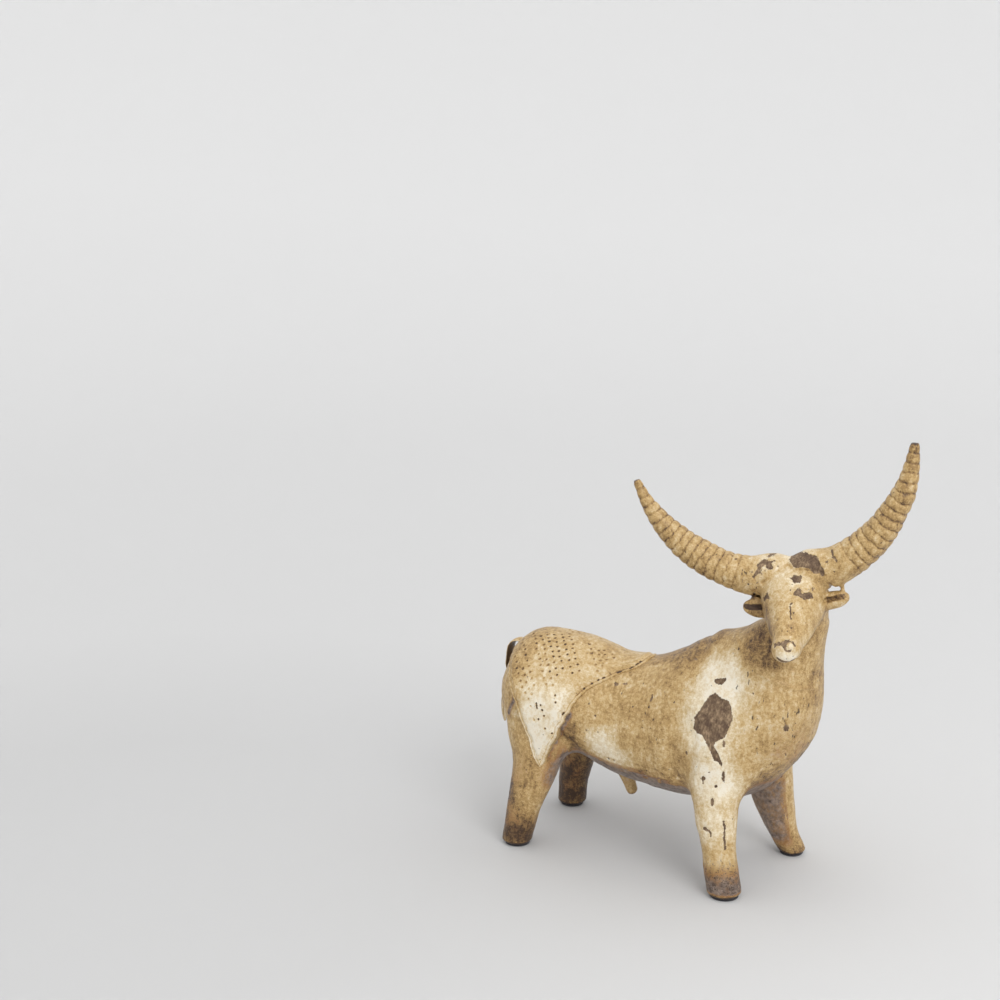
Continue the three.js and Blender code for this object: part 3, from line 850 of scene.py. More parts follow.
# Losses in the glaze on the right flank, as x, z
SHOULDER_LOSS = [
    (68.4, 143.8), (73.9, 141.1), (79.1, 140.7), (81.9, 136.6), (84.3, 129.1), (83.1, 124.7),
    (80.2, 115.9), (74.2, 112.2), (73.0, 109.3), (76.3, 104.9), (79.8, 97.6), (79.1, 94.7),
    (76.9, 98.0), (73.9, 98.9), (70.5, 106.1), (66.9, 110.9), (63.7, 115.1), (59.1, 114.9),
    (55.7, 117.2), (55.6, 125.0), (58.7, 129.6), (61.7, 136.0), (64.1, 140.4),
]
WITHERS_LOSS = [
    (65.4, 151.6), (70.4, 153.1), (74.5, 154.0), (74.2, 152.0), (71.7, 149.1), (69.3, 148.9), (66.1, 149.7),
]
FLANK_SPOTS = [
    (51.3, 98.6, 1.0, 1.6), (66.6, 84.6, 1.6, 1.7), (66.2, 82.4, 0.6, 2.0), (80.7, 88.4, 1.1, 4.1),
    (75.9, 80.4, 1.3, 1.1), (74.3, 69.2, 1.4, 3.0), (45.0, 159.1, 1.3, 0.8), (79.2, 173.5, 0.9, 0.9),
    (17.3, 128.7, 0.7, 1.4), (80.0, 111.6, 0.8, 2.4), (117.9, 124.6, 1.3, 3.0), (70.7, 89.9, 0.6, 0.6),
    (16.9, 123.5, 0.7, 1.1), (15.0, 118.6, 0.5, 0.9), (96.0, 148.0, 0.5, 0.6), (-14.7, 131.6, 2.4, 1.0),
    (-7.8, 132.7, 1.5, 0.8), (-24.5, 109.4, 0.9, 0.9), (17.7, 129.2, 0.9, 2.4), (3.9, 120.8, 0.7, 0.7),
]
FLANK_STROKES = [
    ([(71.3, 49.0), (73.4, 49.4), (74.9, 48.2), (75.5, 45.4)], 1.5),
    ([(70.2, 49.6), (71.4, 49.4)], 2.6),
    ([(82.9, 56.6), (83.9, 52.0), (84.2, 46.0), (85.6, 37.5)], 1.1),
]

# The dark line of painted shade on the haunch beside the tail's tuft
TUFT_SHADE = [(-95, -45, 124), (-92, -48, 119), (-90.5, -49, 113), (-93, -44, 105), (-95.5, -41.5, 99)]

# Raised lines that the fingers left on the neck, as x, y, z
RIDGE_HALF_WIDTH = 1.5
RIDGE_HEIGHT = 0.5
NECK_RIDGES = [
    [(85.8, -14.8, 188.5), (95.9, -33.1, 170.1), (100.9, -38.0, 151.0)],
    [(90.4, -12.9, 187.6), (100.5, -30.6, 169.0), (105.6, -35.2, 152.0)],
]

# Where the brow meets the two humps of the poll, as y, z in the head's frame
FOREHEAD_CREASE = [
    (-18, 11), (-12.7, 14), (-5.5, 18), (-0.5, 20.5), (4, 17.8), (10.9, 17.6), (21, 15), (25, 12),
]
CREASE_DEPTH = 1.1
CREASE_WIDTH = 1.4
LOSS_DEPTH = 0.4

# Losses on the front of the head, as y, z in the head's frame
FACE_LOSSES = [
    [
        (0.7, 23.0), (1.9, 25.2), (4.6, 26.4), (7.5, 27.0), (12.5, 27.0), (16.0, 25.8), (18.8, 25.4),
        (21.2, 23.7), (22.9, 19.1), (24.4, 16.6), (24.8, 14.2), (23.9, 11.1), (22.9, 11.9), (21.5, 14.0),
        (19.7, 13.6), (17.1, 14.6), (15.6, 16.5), (13.9, 17.8), (11.0, 18.9), (5.3, 18.7), (3.8, 19.6),
        (2.3, 21.5),
    ],
    [
        (-18.7, 24.6), (-15.3, 25.6), (-13.4, 25.0), (-12.7, 24.2), (-9.2, 24.6), (-7.9, 23.8), (-10.5, 23.1),
        (-10.2, 21.8), (-9.1, 20.8), (-9.7, 19.2), (-12.1, 19.5), (-13.9, 20.5), (-14.7, 22.2), (-17.0, 21.5),
        (-17.9, 19.9), (-18.4, 18.3), (-16.9, 17.0), (-17.4, 16.1), (-19.4, 17.7), (-21.1, 16.1),
        (-23.0, 14.3), (-24.4, 15.6), (-22.2, 17.9), (-20.8, 19.8), (-19.8, 21.6), (-21.4, 22.2),
    ],
    [(2.1, 13.5), (3.8, 14.7), (6.6, 14.6), (9.8, 13.9), (9.5, 12.0), (8.9, 10.2), (4.7, 10.6), (3.7, 12.4)],
    [
        (4.6, 4.4), (6.0, 6.6), (8.5, 8.0), (9.3, 6.5), (10.2, 4.6), (12.6, 3.5), (15.8, 3.0), (16.5, -1.0),
        (14.1, -0.4), (11.8, -0.2), (9.9, 1.5), (8.3, 3.0), (6.7, 3.3),
    ],
    [(-18.1, 1.2), (-16.1, 3.7), (-14.3, 5.9), (-12.9, 3.8), (-12.1, 2.0), (-15.2, 1.6), (-17.2, -0.5)],
    [
        (-7.9, -21.6), (-3.8, -20.3), (-2.4, -20.6), (-1.3, -19.8), (0.9, -19.1), (3.2, -19.5), (5.5, -21.1),
        (6.7, -23.2), (6.5, -24.5), (5.6, -23.5), (4.6, -21.5), (2.7, -21.0), (1.2, -21.9), (1.2, -24.2),
        (1.6, -25.4), (4.4, -25.6), (3.7, -27.0), (0.9, -26.6), (-0.1, -25.6), (-0.9, -23.6), (-2.7, -22.0),
        (-5.6, -22.7), (-7.5, -24.0),
    ],
]
FACE_SPOTS = [
    (-6.1, 20.8, 0.9, 0.6), (5.1, -6.4, 0.5, 0.8), (4.0, -13.9, 0.4, 0.5), (-5.9, -8.4, 0.5, 0.8),
    (16.5, 4.5, 0.7, 1.2), (2.6, 7.4, 0.6, 0.5), (26.9, 20.8, 0.8, 1.0), (31.4, 13.7, 0.7, 0.6),
]
FACE_STROKES = [
    ([(-13.4, 26.7), (-11.5, 27.2), (-9.6, 27.1)], 1.2),
    ([(3.9, -0.2), (3.1, -0.9), (3.2, -4.4), (3.3, -8.0), (3.6, -8.8)], 0.9),
    ([(30.6, 27.2), (31.3, 24.0), (33.4, 21.1)], 1.7),
    ([(-30.5, 21.3), (-31.4, 17.0), (-31.9, 11.7)], 0.7),
    ([(-35.4, 27.5), (-33.9, 26.8)], 0.8),
    # Painted shade: the last stroke is a dark line under the muzzle, drawn as a loss in the glaze.
    ([(-6, -31), (-3, -33.6), (1, -35.4), (5, -33.8)], 2.0),
]
# Small lumps of clay on the face, as y, z, radius, height and tone of their glaze
PELLETS = [(4.0, -23.6, 1.9, 0.6, 0.5), (5.2, -6.2, 1.0, 0.4, 0.1), (5.9, -10.0, 1.4, 0.5, 0.1)]


def nearest_forms(points):
    """The distance from each point to each form, with the trunk parted at the neck's joint."""
    distances = {name: field.at(points) for name, field in fields.items()}
    trunk_distance = distances.pop("trunk")
    turn = math.radians(neck_seam[3])
    beyond = (points - neck_seam[:3]) @ np.array([math.cos(turn), 0, math.sin(turn)]) > 0
    distances["body_shell"] = np.where(beyond, BAND, trunk_distance)
    distances["neck_shell"] = np.where(beyond, trunk_distance, BAND)
    return distances


def horn_share(horn, place):
    """How far along a horn each point in the head's frame lies, from 0 at the roll to 1 at the tip."""
    start, end, arc = horn_arc(horn)
    outward = horn["side"] * place[:, 1] - POLL_LENGTH / 2 + arc * math.sin(start)
    below = POLL_Z + arc * math.cos(start) - place[:, 2]
    return (np.arctan2(outward, below) - start) / (end - start)


def lowest(distances, names):
    return np.min([distances[name] for name in names], axis=0)


def rib_horns(skin, place, distances):
    for name, horn in HORNS.items():
        share = horn_share(horn, place)
        mine = (distances[name] < 4) & (share > 0)
        waver = uneven(place, [(0.16, 9, 21), (0.1, 3.5, 22)])
        ripple = np.abs(np.sin(np.pi * (share * HORN_RIBS + waver)))
        groove = (1 - ripple**0.6) * smoothstep(share, horn["plain"], horn["plain"] + 0.1)
        depth = RIB_DEPTH * (0.75 + 0.45 * wander(place, 8, 23)) * (1 - 0.45 * np.clip(share, 0, 1))
        skin.lift -= np.where(mine, depth * groove, 0)
        skin.grooves += np.where(mine, smoothstep(groove, 0.3, 0.85), 0)


# Height, size and seed of the unevenness that the hand leaves
HAND_NOISE = [(0.55, 17, 1), (0.28, 7, 2), (0.1, 2.6, 3)]
# Folds at the neck: place in degrees around the turn, grain and seed of their wander, height and width
NECK_FOLDS = [(63, 18, 4, 0.8, 1.3), (70, 14, 5, 0.5, 1.0)]
# The dip behind each shoulder: its middle, its slope, and its half length, half width and depth
DIP_PLACE = (47, 46, 96)
DIP_SLOPE = (0.1, 0, 0.99)
DIP_SIZE = (32, 13, 2.2)


def shape_clay(skin, distances, place):
    """Hand work: soft unevenness all over, the horns' ribs, folds at the neck and pressed places."""
    points = skin.points
    skin.lift += uneven(points, HAND_NOISE)
    rib_horns(skin, place, distances)
    turn = np.degrees(np.arctan2(points[:, 0] - TURN_X, TURN_Z - points[:, 2]))
    reach = np.hypot(points[:, 0] - TURN_X, TURN_Z - points[:, 2])
    on_right = smoothstep(-points[:, 1], 4, 14) * (distances["neck_shell"] < 3)
    for seat, grain, seed, height, width in NECK_FOLDS:
        off_line = (turn - seat - 3 * wander(points, grain, seed)) * np.radians(reach)
        skin.lift += height * bump(off_line, 0, width) * on_right
    ahead = smoothstep(place[:, 0], -6, 0) * (lengths(place) < 45)
    gap = route_distance(place[:, 1], place[:, 2], FOREHEAD_CREASE)
    skin.lift -= CREASE_DEPTH * bump(gap, 0, CREASE_WIDTH) * ahead
    for side in (-1, 1):
        skin.press(np.multiply(DIP_PLACE, (1, side, 1)), np.array(DIP_SLOPE), *DIP_SIZE)
    skin.raise_skin()


def scatter(skin, seed, count, where, long, wide, depth, stain):
    """Presses marks that run down the form at seeded places."""
    pick = np.random.default_rng(seed)
    places = pick.choice(np.flatnonzero(where), count, replace=False)
    for index in places:
        normal = skin.normals[index]
        down = np.array([0.25 * pick.normal(), 0.25 * pick.normal(), -1.0])
        down -= normal * (down @ normal)
        down /= np.linalg.norm(down)
        size = pick.uniform(0.55, 1.0)
        deep = depth * pick.uniform(0.4, 1)
        dark = stain * (pick.uniform(0, 1) ** 0.6)
        skin.press(skin.points[index], down, long * size, wide * size, deep, dark)


# Marks pressed here and there: seed, count, region, half length, half width, depth and stain
SCATTERS = [
    (31, 90, "right of chest", 2.6, 0.8, 0.35, 0.75),
    (32, 60, "chest", 1.6, 0.9, -0.3, 0.0),
    (33, 60, "right flank", 1.4, 0.8, 0.5, 0.9),
    (34, 90, "flank", 2.6, 1.2, 0.4, 0.3),
    (35, 60, "flank", 2.2, 1.3, -0.35, 0.0),
    (36, 60, "shins", 4.0, 0.9, 0.3, 0.3),
    (37, 22, "legs", 1.6, 0.9, 0.4, 1.0),
    (38, 22, "neck", 2.2, 0.8, 0.35, 0.5),
    (39, 110, "horns", 1.1, 0.55, 0.3, 1.0),
    (40, 16, "temple", 1.0, 0.7, 0.4, 1.0),
]
LEG_NODES = ["leg_" + name for name in LEGS]


def mark_clay(skin, distances):
    x, y, z = skin.points.T
    ahead, across, rise = to_head(skin.points).T
    on_trunk = distances["body_shell"] < 1.5
    chest = on_trunk & (x > 72) & (z > 82) & (z < 176)
    flank = on_trunk & (x > -40) & (x < 75) & (z > 58) & (z < 150)
    legs = lowest(distances, LEG_NODES) < 1.5
    regions = {
        "chest": chest,
        "right of chest": chest & (y < 12),
        "flank": flank,
        "right flank": flank & (y < 0),
        "legs": legs & (z < 80),
        "shins": legs & (z < 70),
        "neck": distances["neck_shell"] < 1.5,
        "horns": lowest(distances, HORNS) < 1.5,
        "temple": (ahead > 0) & (across > -30) & (across < -17) & (rise > 5) & (rise < 21),
    }
    for seed, count, region, long, wide, depth, stain in SCATTERS:
        scatter(skin, seed, count, regions[region], long, wide, depth, stain)
    skin.raise_skin()
    for route in NECK_RIDGES:
        skin.ridge(route, RIDGE_HALF_WIDTH, RIDGE_HEIGHT)
    skin.raise_skin()


def wear_clay(skin, place):
    """Losses down to the dark clay, and the steps at their edges, with a line of painted shade under the
    muzzle drawn as one.
    """
    x, y, z = skin.points.T
    _, across, rise = place.T
    right = (y < -8) & (skin.normals[:, 1] < 0.25)
    left = (y > 8) & (skin.normals[:, 1] > -0.25)
    facing = (place[:, 0] > -7) & (lengths(place) < HEAD_REACH)
    far_loss = [(lerp(u, 68, 0.35) - 6, lerp(v, 120, 0.35) - 9) for u, v in SHOULDER_LOSS]
    skin.wear(right, x, z, (SHOULDER_LOSS, WITHERS_LOSS), FLANK_SPOTS)
    skin.wear(right & (z < 60), x, z, strokes=FLANK_STROKES)
    skin.wear(facing, across, rise, FACE_LOSSES, FACE_SPOTS, FACE_STROKES)
    skin.wear(left, x, z, [far_loss])
    skin.wear(left, x - 3, z + 4, spots=FLANK_SPOTS)
    skin.lift -= LOSS_DEPTH * smoothstep(skin.marks["worn"], -0.35, 0.35)
    for pellet_across, pellet_rise, radius, height, tone in PELLETS:
        gap = np.hypot(across - pellet_across, rise - pellet_rise) + 100 * ~facing
        centre = skin.points[gap.argmin()]
        skin.press(centre, HEAD_TURN[:, 2], radius, radius, -height)
        skin.tint(centre, 1.7 * radius, tone)
    skin.raise_skin()


# Where the glaze is thick and cream or thin and brown, and on the far hind leg partly painted shade: place,
# radius and amount, from 0 brown to 1 cream
TINTS = [
    ((38, 0, 165), 48, 0.24),
    ((-5, 0, 150), 34, 0.36),
    ((-15, -42, 85), 30, 0.9),
    ((10, -44, 108), 34, 0.48),
    ((44, -46, 96), 20, 0.42),
    ((74, -38, 148), 40, 0.98),
    ((66, -48, 118), 30, 0.96),
    ((112, -34, 138), 36, 0.56),
    ((140, -4, 150), 38, 0.42),
    ((112, -24, 92), 26, 0.64),
    ((112, 20, 160), 34, 0.36),
    ((118, -12, 196), 30, 0.3),
    ((98, -28, 176), 26, 0.15),
    ((76, -10, 190), 14, 0.26),
    ((-45, -46, 92), 18, 0.3),
    ((74, -50, 84), 30, 0.96),
    ((76, -50, 52), 26, 0.82),
    ((79, -50, 30), 16, 0.62),
    ((-78, -50, 58), 30, 0.44),
    ((-86, -46, 18), 26, 0.12),
    ((-94, -44, 42), 20, 0.04),
    # The far hind leg's dark brown: partly its own thin glaze, partly painted shade.
    ((-84, 42, 30), 44, 0.04),
    ((96, 40, 40), 34, 0.55),
    ((-20, 44, 100), 40, 0.52),
    ((66, 46, 125), 42, 0.8),
    ((76, 48, 70), 34, 0.7),
]
# Where the glaze is thin enough to turn rust brown: place, radius and amount
RUSTY = [
    ((-80, -48, 60), 34, 0.2),
    ((-86, -44, 24), 26, 0.24),
    ((-52, -42, 74), 16, 0.26),
    ((120, -20, 108), 40, 0.24),
    ((20, -40, 66), 24, 0.2),
    ((-30, -34, 64), 20, 0.24),
    ((124, 14, 150), 40, 0.12),
]
# Tones over the head, as TINTS gives them, with places in the head's frame
FACE_TINTS = [
    ((0, 0, 4), 26, 0.76),
    ((12, 0, 4), 20, 0.9),
    ((0, 0, 24), 30, 0.8),
    ((24, 3, -10), 18, 0.64),
    # Painted shade: the right side plane of the face, turned away from the light, is darkened.
    ((8, -24, -8), 18, 0.36),
    ((14, 20, -8), 12, 0.6),
    ((36, -9, -22), 13, 0.5),
    ((46, 0, -26), 12, 0.62),
    ((52, 0, -31), 11, 0.95),
    ((4, 29, -10), 8, 0.66),
    ((2, -29, -6), 9, 0.42),
    # Painted shadow: a dark spot in the crease under the right horn, above the right ear.
    ((4, -27, 0), 4, 0.05),
    ((22, -17, -8), 13, 0.24),
    ((34, -13, -18), 11, 0.24),
]


PLAIN_TONE = 0.52
HEAD_NODES = ["head", "muzzle", "poll_roll", "ear_left", "ear_right"]
# Dark smoke and bare purple clay on the feet
SOOTY_FEET = [("leg_front_right", 0.46, 0.72), ("leg_hind_right", 0.36, 0.0)]


def tint_clay(skin, distances, place):
    """How cream the glaze is: over the whole bull first, then over the head and the horns."""
    nz = skin.normals[:, 2]
    skin.marks["cream"] += PLAIN_TONE
    for tint in TINTS:
        skin.tint(*tint)
    before_head = skin.marks["cream"].copy()
    for centre, radius, amount in FACE_TINTS:
        skin.tint(from_head(centre), radius, amount)
    of_head = smoothstep(distances["neck_shell"] - lowest(distances, HEAD_NODES), -2, 3)
    of_head *= lengths(place) < HEAD_REACH
    # Painted shade: the crease where the brow meets the humps of the poll is darkened.
    crease = bump(route_distance(place[:, 1], place[:, 2], FOREHEAD_CREASE), 0, 1.1)
    crease *= smoothstep(place[:, 0], -6, 0)
    skin.marks["cream"] = lerp(before_head, skin.marks["cream"] - 0.22 * crease, of_head)
    for name, horn in HORNS.items():
        share = horn_share(horn, place)
        own = smoothstep(share, 0.02, 0.16) * (distances[name] < 4)
        # Painted shade: the horns' downward-facing sides are darker.
        amount = lerp(*horn["tones"], np.clip(share, 0, 1)) - 0.12 * smoothstep(-nz, 0, 0.8)
        amount -= 0.3 * skin.grooves
        amount -= 0.16 * smoothstep(share, 0.82, 1.0)
        skin.marks["cream"] = lerp(skin.marks["cream"], amount, own)


def bare_and_shaded_clay(skin, distances):
    """Where the glaze runs thin: undersides, the insides of the legs, the feet and places on the flank; on
    undersides and the insides of the legs this is partly painted shade.
    """
    _, y, z = skin.points.T
    nx, ny, nz = skin.normals.T
    on_leg = lowest(distances, LEG_NODES) < 3
    # Undersides are made darker and, low down, bare: partly thin glaze, partly painted shade.
    skin.marks["cream"] -= 0.28 * smoothstep(-nz, 0.25, 0.6) * (z < 110)
    # The leg sides that face between the legs go bare: partly thin glaze, partly painted shade.
    inward = np.where(on_leg, -ny * np.sign(y), 0)
    inward = np.maximum(inward, nx * (distances["leg_hind_right"] < 3) * smoothstep(z, 30, 60))
    bare = smoothstep(-nz, 0.3, 0.75) * smoothstep(84 - z, 0, 12)
    bare += 0.7 * smoothstep(inward, 0.3, 0.9) * smoothstep(110 - z, 0, 30)
    bare *= smoothstep(z, 4, 16)
    far_leg = distances["leg_hind_left"] < 3
    bare *= 1 - 0.7 * far_leg
    # The far hind leg is stained darker: partly its own colour, partly painted shade.
    skin.deepen("stain", 0.3 * far_leg)
    skin.marks["cream"] -= 0.22 * smoothstep(26 - z, 0, 20) * on_leg
    above_floor = smoothstep(z, 3, 6)
    for name, dark, purple in SOOTY_FEET:
        own = distances[name] < 3
        skin.deepen("stain", dark * (smoothstep(52 - z, 0, 38) * above_floor) * own)
        bare = np.maximum(bare, purple * smoothstep(34 - z, 0, 26) * above_floor * own)
    skin.marks["bare"] = np.clip(bare, 0, 1)
    for centre, radius, amount in RUSTY:
        skin.deepen("bare", amount * skin.around(centre, radius))


def shade_edges(skin):
    """Painted shade, drawn as dark clay colour, along the blanket's lower front edges and in the crease
    beside the tail's tuft.
    """
    drops = np.array([side * drop for side in (-1, 1) for drop in range(88, 110, 3)])
    rim = blanket_point(blanket_edge(drops, 1) + 0.6, drops, CLOTH)
    shades = [(rim, 4.6, 3.0, 0.45), (smooth_rows(TUFT_SHADE, 4), 3.2, 1.9, 0.5)]
    for spots, bare_radius, stain_radius, stain in shades:
        for spot in on_clay(spots):
            skin.tint(spot, bare_radius, 0.75, "bare")
            skin.tint(spot, stain_radius, stain, "stain")


def glaze_clay(skin, distances, place):
    tint_clay(skin, distances, place)
    bare_and_shaded_clay(skin, distances)
    shade_edges(skin)
    on_sheath = (distances["sheath"] < 2) & (skin.points[:, 2] < 56)
    skin.marks["bare"] = np.where(on_sheath, 0.15, skin.marks["bare"])
    # Painted shade in the ears' hollows: the fold is darkened and stained, most in the right ear under its
    # horn.
    for name, side, stain in (("ear_left", 1, 0.25), ("ear_right", -1, 0.8)):
        share = (side * place[:, 1] - SKULL_HALF + 5) / EAR_LENGTH
        gap = (place - ear_line(side, share))[:, [0, 2]] - EAR_FOLD_PLACE
        fold = smoothstep(1.35 - lengths(gap / EAR_FOLD), 0, 0.3)
        fold *= smoothstep(share, 0.22, 0.3) * smoothstep(0.95 - share, 0, 0.08) * (distances[name] < 2)
        skin.marks["cream"] = lerp(skin.marks["cream"], 0.14, fold)
        skin.deepen("stain", stain * fold)


points, _, quads = clay.skin()
bull = Skin(points, quads[:, ::-1])
place = to_head(bull.points)
distances = nearest_forms(bull.points)
shape_clay(bull, distances, place)
mark_clay(bull, distances)
place = to_head(bull.points)
wear_clay(bull, place)
glaze_clay(bull, distances, place)


# Pieces


def smallest_over_edges(values, start, end):
    """Gives each item the smallest value found anywhere in the group that the edges join it to."""
    values = values.copy()
    while True:
        before = values.copy()
        low = np.minimum(values[start], values[end])
        np.minimum.at(values, start, low)
        np.minimum.at(values, end, low)
        values = np.minimum(values, values[values])
        if (values == before).all():
            return values


def quad_edges(quads):
    return np.concatenate([quads[:, [k, (k + 1) % 4]] for k in range(4)])


def face_neighbours(quads):
    """Pairs of faces that share an edge."""
    owner = np.tile(np.arange(len(quads)), 4)
    key = np.sort(quad_edges(quads), axis=1)
    order = np.lexsort((key[:, 1], key[:, 0]))
    key = key[order]
    same = (key[1:] == key[:-1]).all(1)
    return owner[order][:-1][same], owner[order][1:][same]


def face_labels(skin, distances):
    """The piece that each face belongs to, with stray patches given to the piece around them."""
    names = list(distances)
    nearest = np.array([distances[name] for name in names])
    labels = nearest[:, skin.quads].mean(2).argmin(0)
    start, end = face_neighbours(skin.quads)
    for _ in range(4):
        alike = labels[start] == labels[end]
        group = smallest_over_edges(np.arange(len(labels)), start[alike], end[alike])
        size = np.bincount(group, minlength=len(labels))[group]
        largest = np.array([size[labels == k].max(initial=0) for k in range(len(names))])
        stray = size < largest[labels]
        if not stray.any():
            break
        inner, outer = np.concatenate([start, end]), np.concatenate([end, start])
        border = stray[inner] & (labels[inner] != labels[outer])
        labels[inner[border]] = labels[outer[border]]
    return names, labels


def closed_piece(skin, own):
    """One piece's points and faces, closed inside the body by a cap over each open edge."""
    quads = skin.quads[own]
    used, local = np.unique(quads, return_inverse=True)
    quads = local.reshape(quads.shape)
    edges = quad_edges(quads)
    code = np.sort(edges, axis=1) @ np.array([len(used), 1])
    _, first, count = np.unique(code, return_index=True, return_counts=True)
    rim = edges[first[count == 1]]
    group = smallest_over_edges(np.arange(len(used)), rim[:, 0], rim[:, 1])
    centres = []
    caps = []
    for root in np.unique(group[rim[:, 0]]):
        loop = rim[group[rim[:, 0]] == root]
        middle = len(used) + len(centres)
        centres.append(skin.points[used[loop[:, 0]]].mean(0))
        caps += [(b, a, middle) for a, b in loop]
    return used, np.array(centres).reshape(-1, 3), quads, caps


def in_scene(name, data):
    """A new object in the scene that shows the given mesh, lamp or camera."""
    made = bpy.data.objects.new(name, data)
    bpy.context.collection.objects.link(made)
    return made


def make_object(name, points, faces, node, marks=None, normals=None):
    """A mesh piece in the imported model's frame that stands for the given node."""
    mesh = bpy.data.meshes.new(name)
    mesh.from_pydata(((points + SHIFT) * 0.001).tolist(), [], faces)
    mesh.shade_smooth()
    for key, values in (marks or {}).items():
        layer = mesh.attributes.new(key, "FLOAT", "POINT")
        layer.data.foreach_set("value", np.asarray(values, np.float32))
    if normals is not None:
        mesh.normals_split_custom_set_from_vertices(normals.tolist())
    mesh.validate()
    piece = in_scene(name, mesh)
    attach(piece, "root")
    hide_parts(node)
    return piece


SLOTS = {row["node"]: row["material_slot"] for row in frame["record"]["subparts"]}

names, labels = face_labels(bull, distances)
clay_pieces = []
for index, name in enumerate(names):
    used, centres, quads, caps = closed_piece(bull, labels == index)
    points = np.concatenate([bull.points[used], centres])
    normals = np.concatenate([bull.normals[used], np.zeros_like(centres)])
    marks = {key: np.append(values[used], np.zeros(len(centres))) for key, values in bull.marks.items()}
    faces = quads.tolist() + caps
    clay_pieces.append(make_object(name + "_clay", points, faces, name, marks, normals))


# Rump blanket: a grid over the trunk, by place along the back and by angle down from its ridge

BLANKET_GRAIN = 0.42
CLOTH_EDGE = 1.2
RIM_THINNING = 1.1
FRONT_RIDGE = 5.6
REAR_RIDGE = 4.8
CLOTH_DEPTH = 9.0
HIDDEN_COLUMNS = 6
# Each column's place at 34 degrees of drop, its first and last drop, and how dark its dots are
DOT_COLUMNS = [
    (-103.3, 47, 98, 0.5),
    (-98.5, 58, 80, 0.45),
    (-93.0, 28, 72, 0.3),
    (-82.0, 14, 68, 0.6),
    (-75.8, 18, 66, 0.85),
    (-69.9, 14, 58, 0.95),
    (-63.8, 12, 54, 1.0),
    (-56.5, 8, 53, 1.0),
    (-50.0, 4, 48, 0.9),
    (-34.0, 12, 39, 0.7),
    (-28.5, 16, 32, 0.6),
    (-22.5, 12, 27, 0.6),
    (-15.5, 12, 22, 0.5),
]
DOT_LEAN = 0.565
DOT_PITCH = 5.3
DOT_RADIUS = 0.95
LOW_DOTS = [
    (-64.2, 86.4), (-62.6, 90.3), (-60.9, 92.3), (-65.5, 94.3), (-54.1, 74), (-52.8, 79.9), (-54.7, 98.6),
    (-60, 97.3), (-67.8, 86), (-67.5, 88), (-67.1, 90),
]
# Holes along the front rim: drop and half length
RIM_HOLES = [
    (16, 1.2), (20, 1.6), (25.3, 1.8), (32.1, 2.0), (42.2, 1.3), (46.2, 1.0), (51.7, 0.9), (59, 1.0),
    (88, 1.6),
]
RIM_HOLE_PLACE = 3.1
RIM_HOLE_RADIUS = 0.75
# Height, size and seed of the cloth's unevenness
CLOTH_NOISE = [(0.35, 14, 45), (0.16, 5, 46), (0.08, 2.2, 47)]


def blanket_dots():
    """Places, darkness, half length and half width of all the punched dots, on both sides."""
    pick = np.random.default_rng(51)
    dots = []
    for side in (-1, 1):
        for place, first, last, dark in DOT_COLUMNS:
            for drop in np.arange(first, last + 0.1, DOT_PITCH):
                x = place + DOT_LEAN * (drop - 34) + pick.normal(0, 0.3)
                inside = min(blanket_edge(drop, 1) - x - 5.5, x - blanket_edge(drop, 2) - 3)
                if inside > 0:
                    lean = side * (drop + pick.normal(0, 0.4))
                    dots.append((x, lean, dark * pick.uniform(0.75, 1.1), DOT_RADIUS, 0))
        for x, drop in LOW_DOTS:
            dots.append((x, side * drop, 0.9, DOT_RADIUS, 0))
        for drop, half_long in RIM_HOLES:
            x = blanket_edge(drop, 1) - RIM_HOLE_PLACE
            dots.append((x, side * drop, 1.0, RIM_HOLE_RADIUS, half_long - RIM_HOLE_RADIUS))
    return dots


def cloth_rows():
    """Angles down from the ridge that lie evenly along the cloth, and the length of cloth up to each one."""
    angles = np.linspace(-1, 1, 400) * BLANKET_EDGES[-1][0]
    line = blanket_point(np.full(400, LOIN_X), angles, CLOTH)
    gone = travelled(line)
    arc = np.linspace(0, gone[-1], round(gone[-1] / BLANKET_GRAIN))
    return np.interp(arc, gone, angles), arc


def cloth_columns(front, rear):
    """Lengths along the back for each row's points, closer together at its two edges."""
    width = (front - rear)[:, None]
    steps = np.array([0, 0.07, 0.2, 0.4, 0.65, 0.95, CLOTH_EDGE])
    near = steps[None] * np.minimum(1, width / 8)
    count = round(width.max() / BLANKET_GRAIN)
    middle = lerp(near[:, -1:], width - near[:, -1:], np.linspace(0, 1, count)[None, 1:-1])
    return rear[:, None] + np.concatenate([near, middle, (width - near)[:, ::-1]], axis=1)


def cloth_relief(points, drop, from_front, from_rear):
    """How far the cloth is raised, how much it thins towards its rim, and the stain of its lower front."""
    edge = np.minimum(from_front, from_rear)
    flat = points.reshape(-1, 3)
    lift = uneven(flat, CLOTH_NOISE).reshape(drop.shape)
    for distance, ridge, strength in ((from_front, FRONT_RIDGE, 1.0), (from_rear, REAR_RIDGE, 0.5)):
        rim = 0.22 * bump(distance, 1.3, 0.6) - 0.28 * bump(distance, 2.5, 0.5)
        lift += strength * (rim + 0.24 * bump(distance, ridge, 0.7))
    lift -= CLOTH * (1 - np.sqrt(1 - np.clip(1 - edge / CLOTH_EDGE, 0, 1) ** 2))
    thinning = RIM_THINNING * (1 + 0.6 * smoothstep(34 - np.abs(drop), 0, 20))
    lift -= thinning * smoothstep(6.5 - edge, 0, 4.5)
    low_front = smoothstep(np.abs(drop), 84, 97) * smoothstep(5 - from_front, 0, 3)
    low_front *= smoothstep(113 - np.abs(drop), 0, 5)
    crumbs = wander(flat, 2.4, 48).reshape(drop.shape)
    lift -= 0.7 * low_front * np.clip(crumbs, 0, 1)
    return lift.ravel(), thinning.ravel(), (0.4 * low_front * smoothstep(crumbs, 0, 0.6)).ravel()


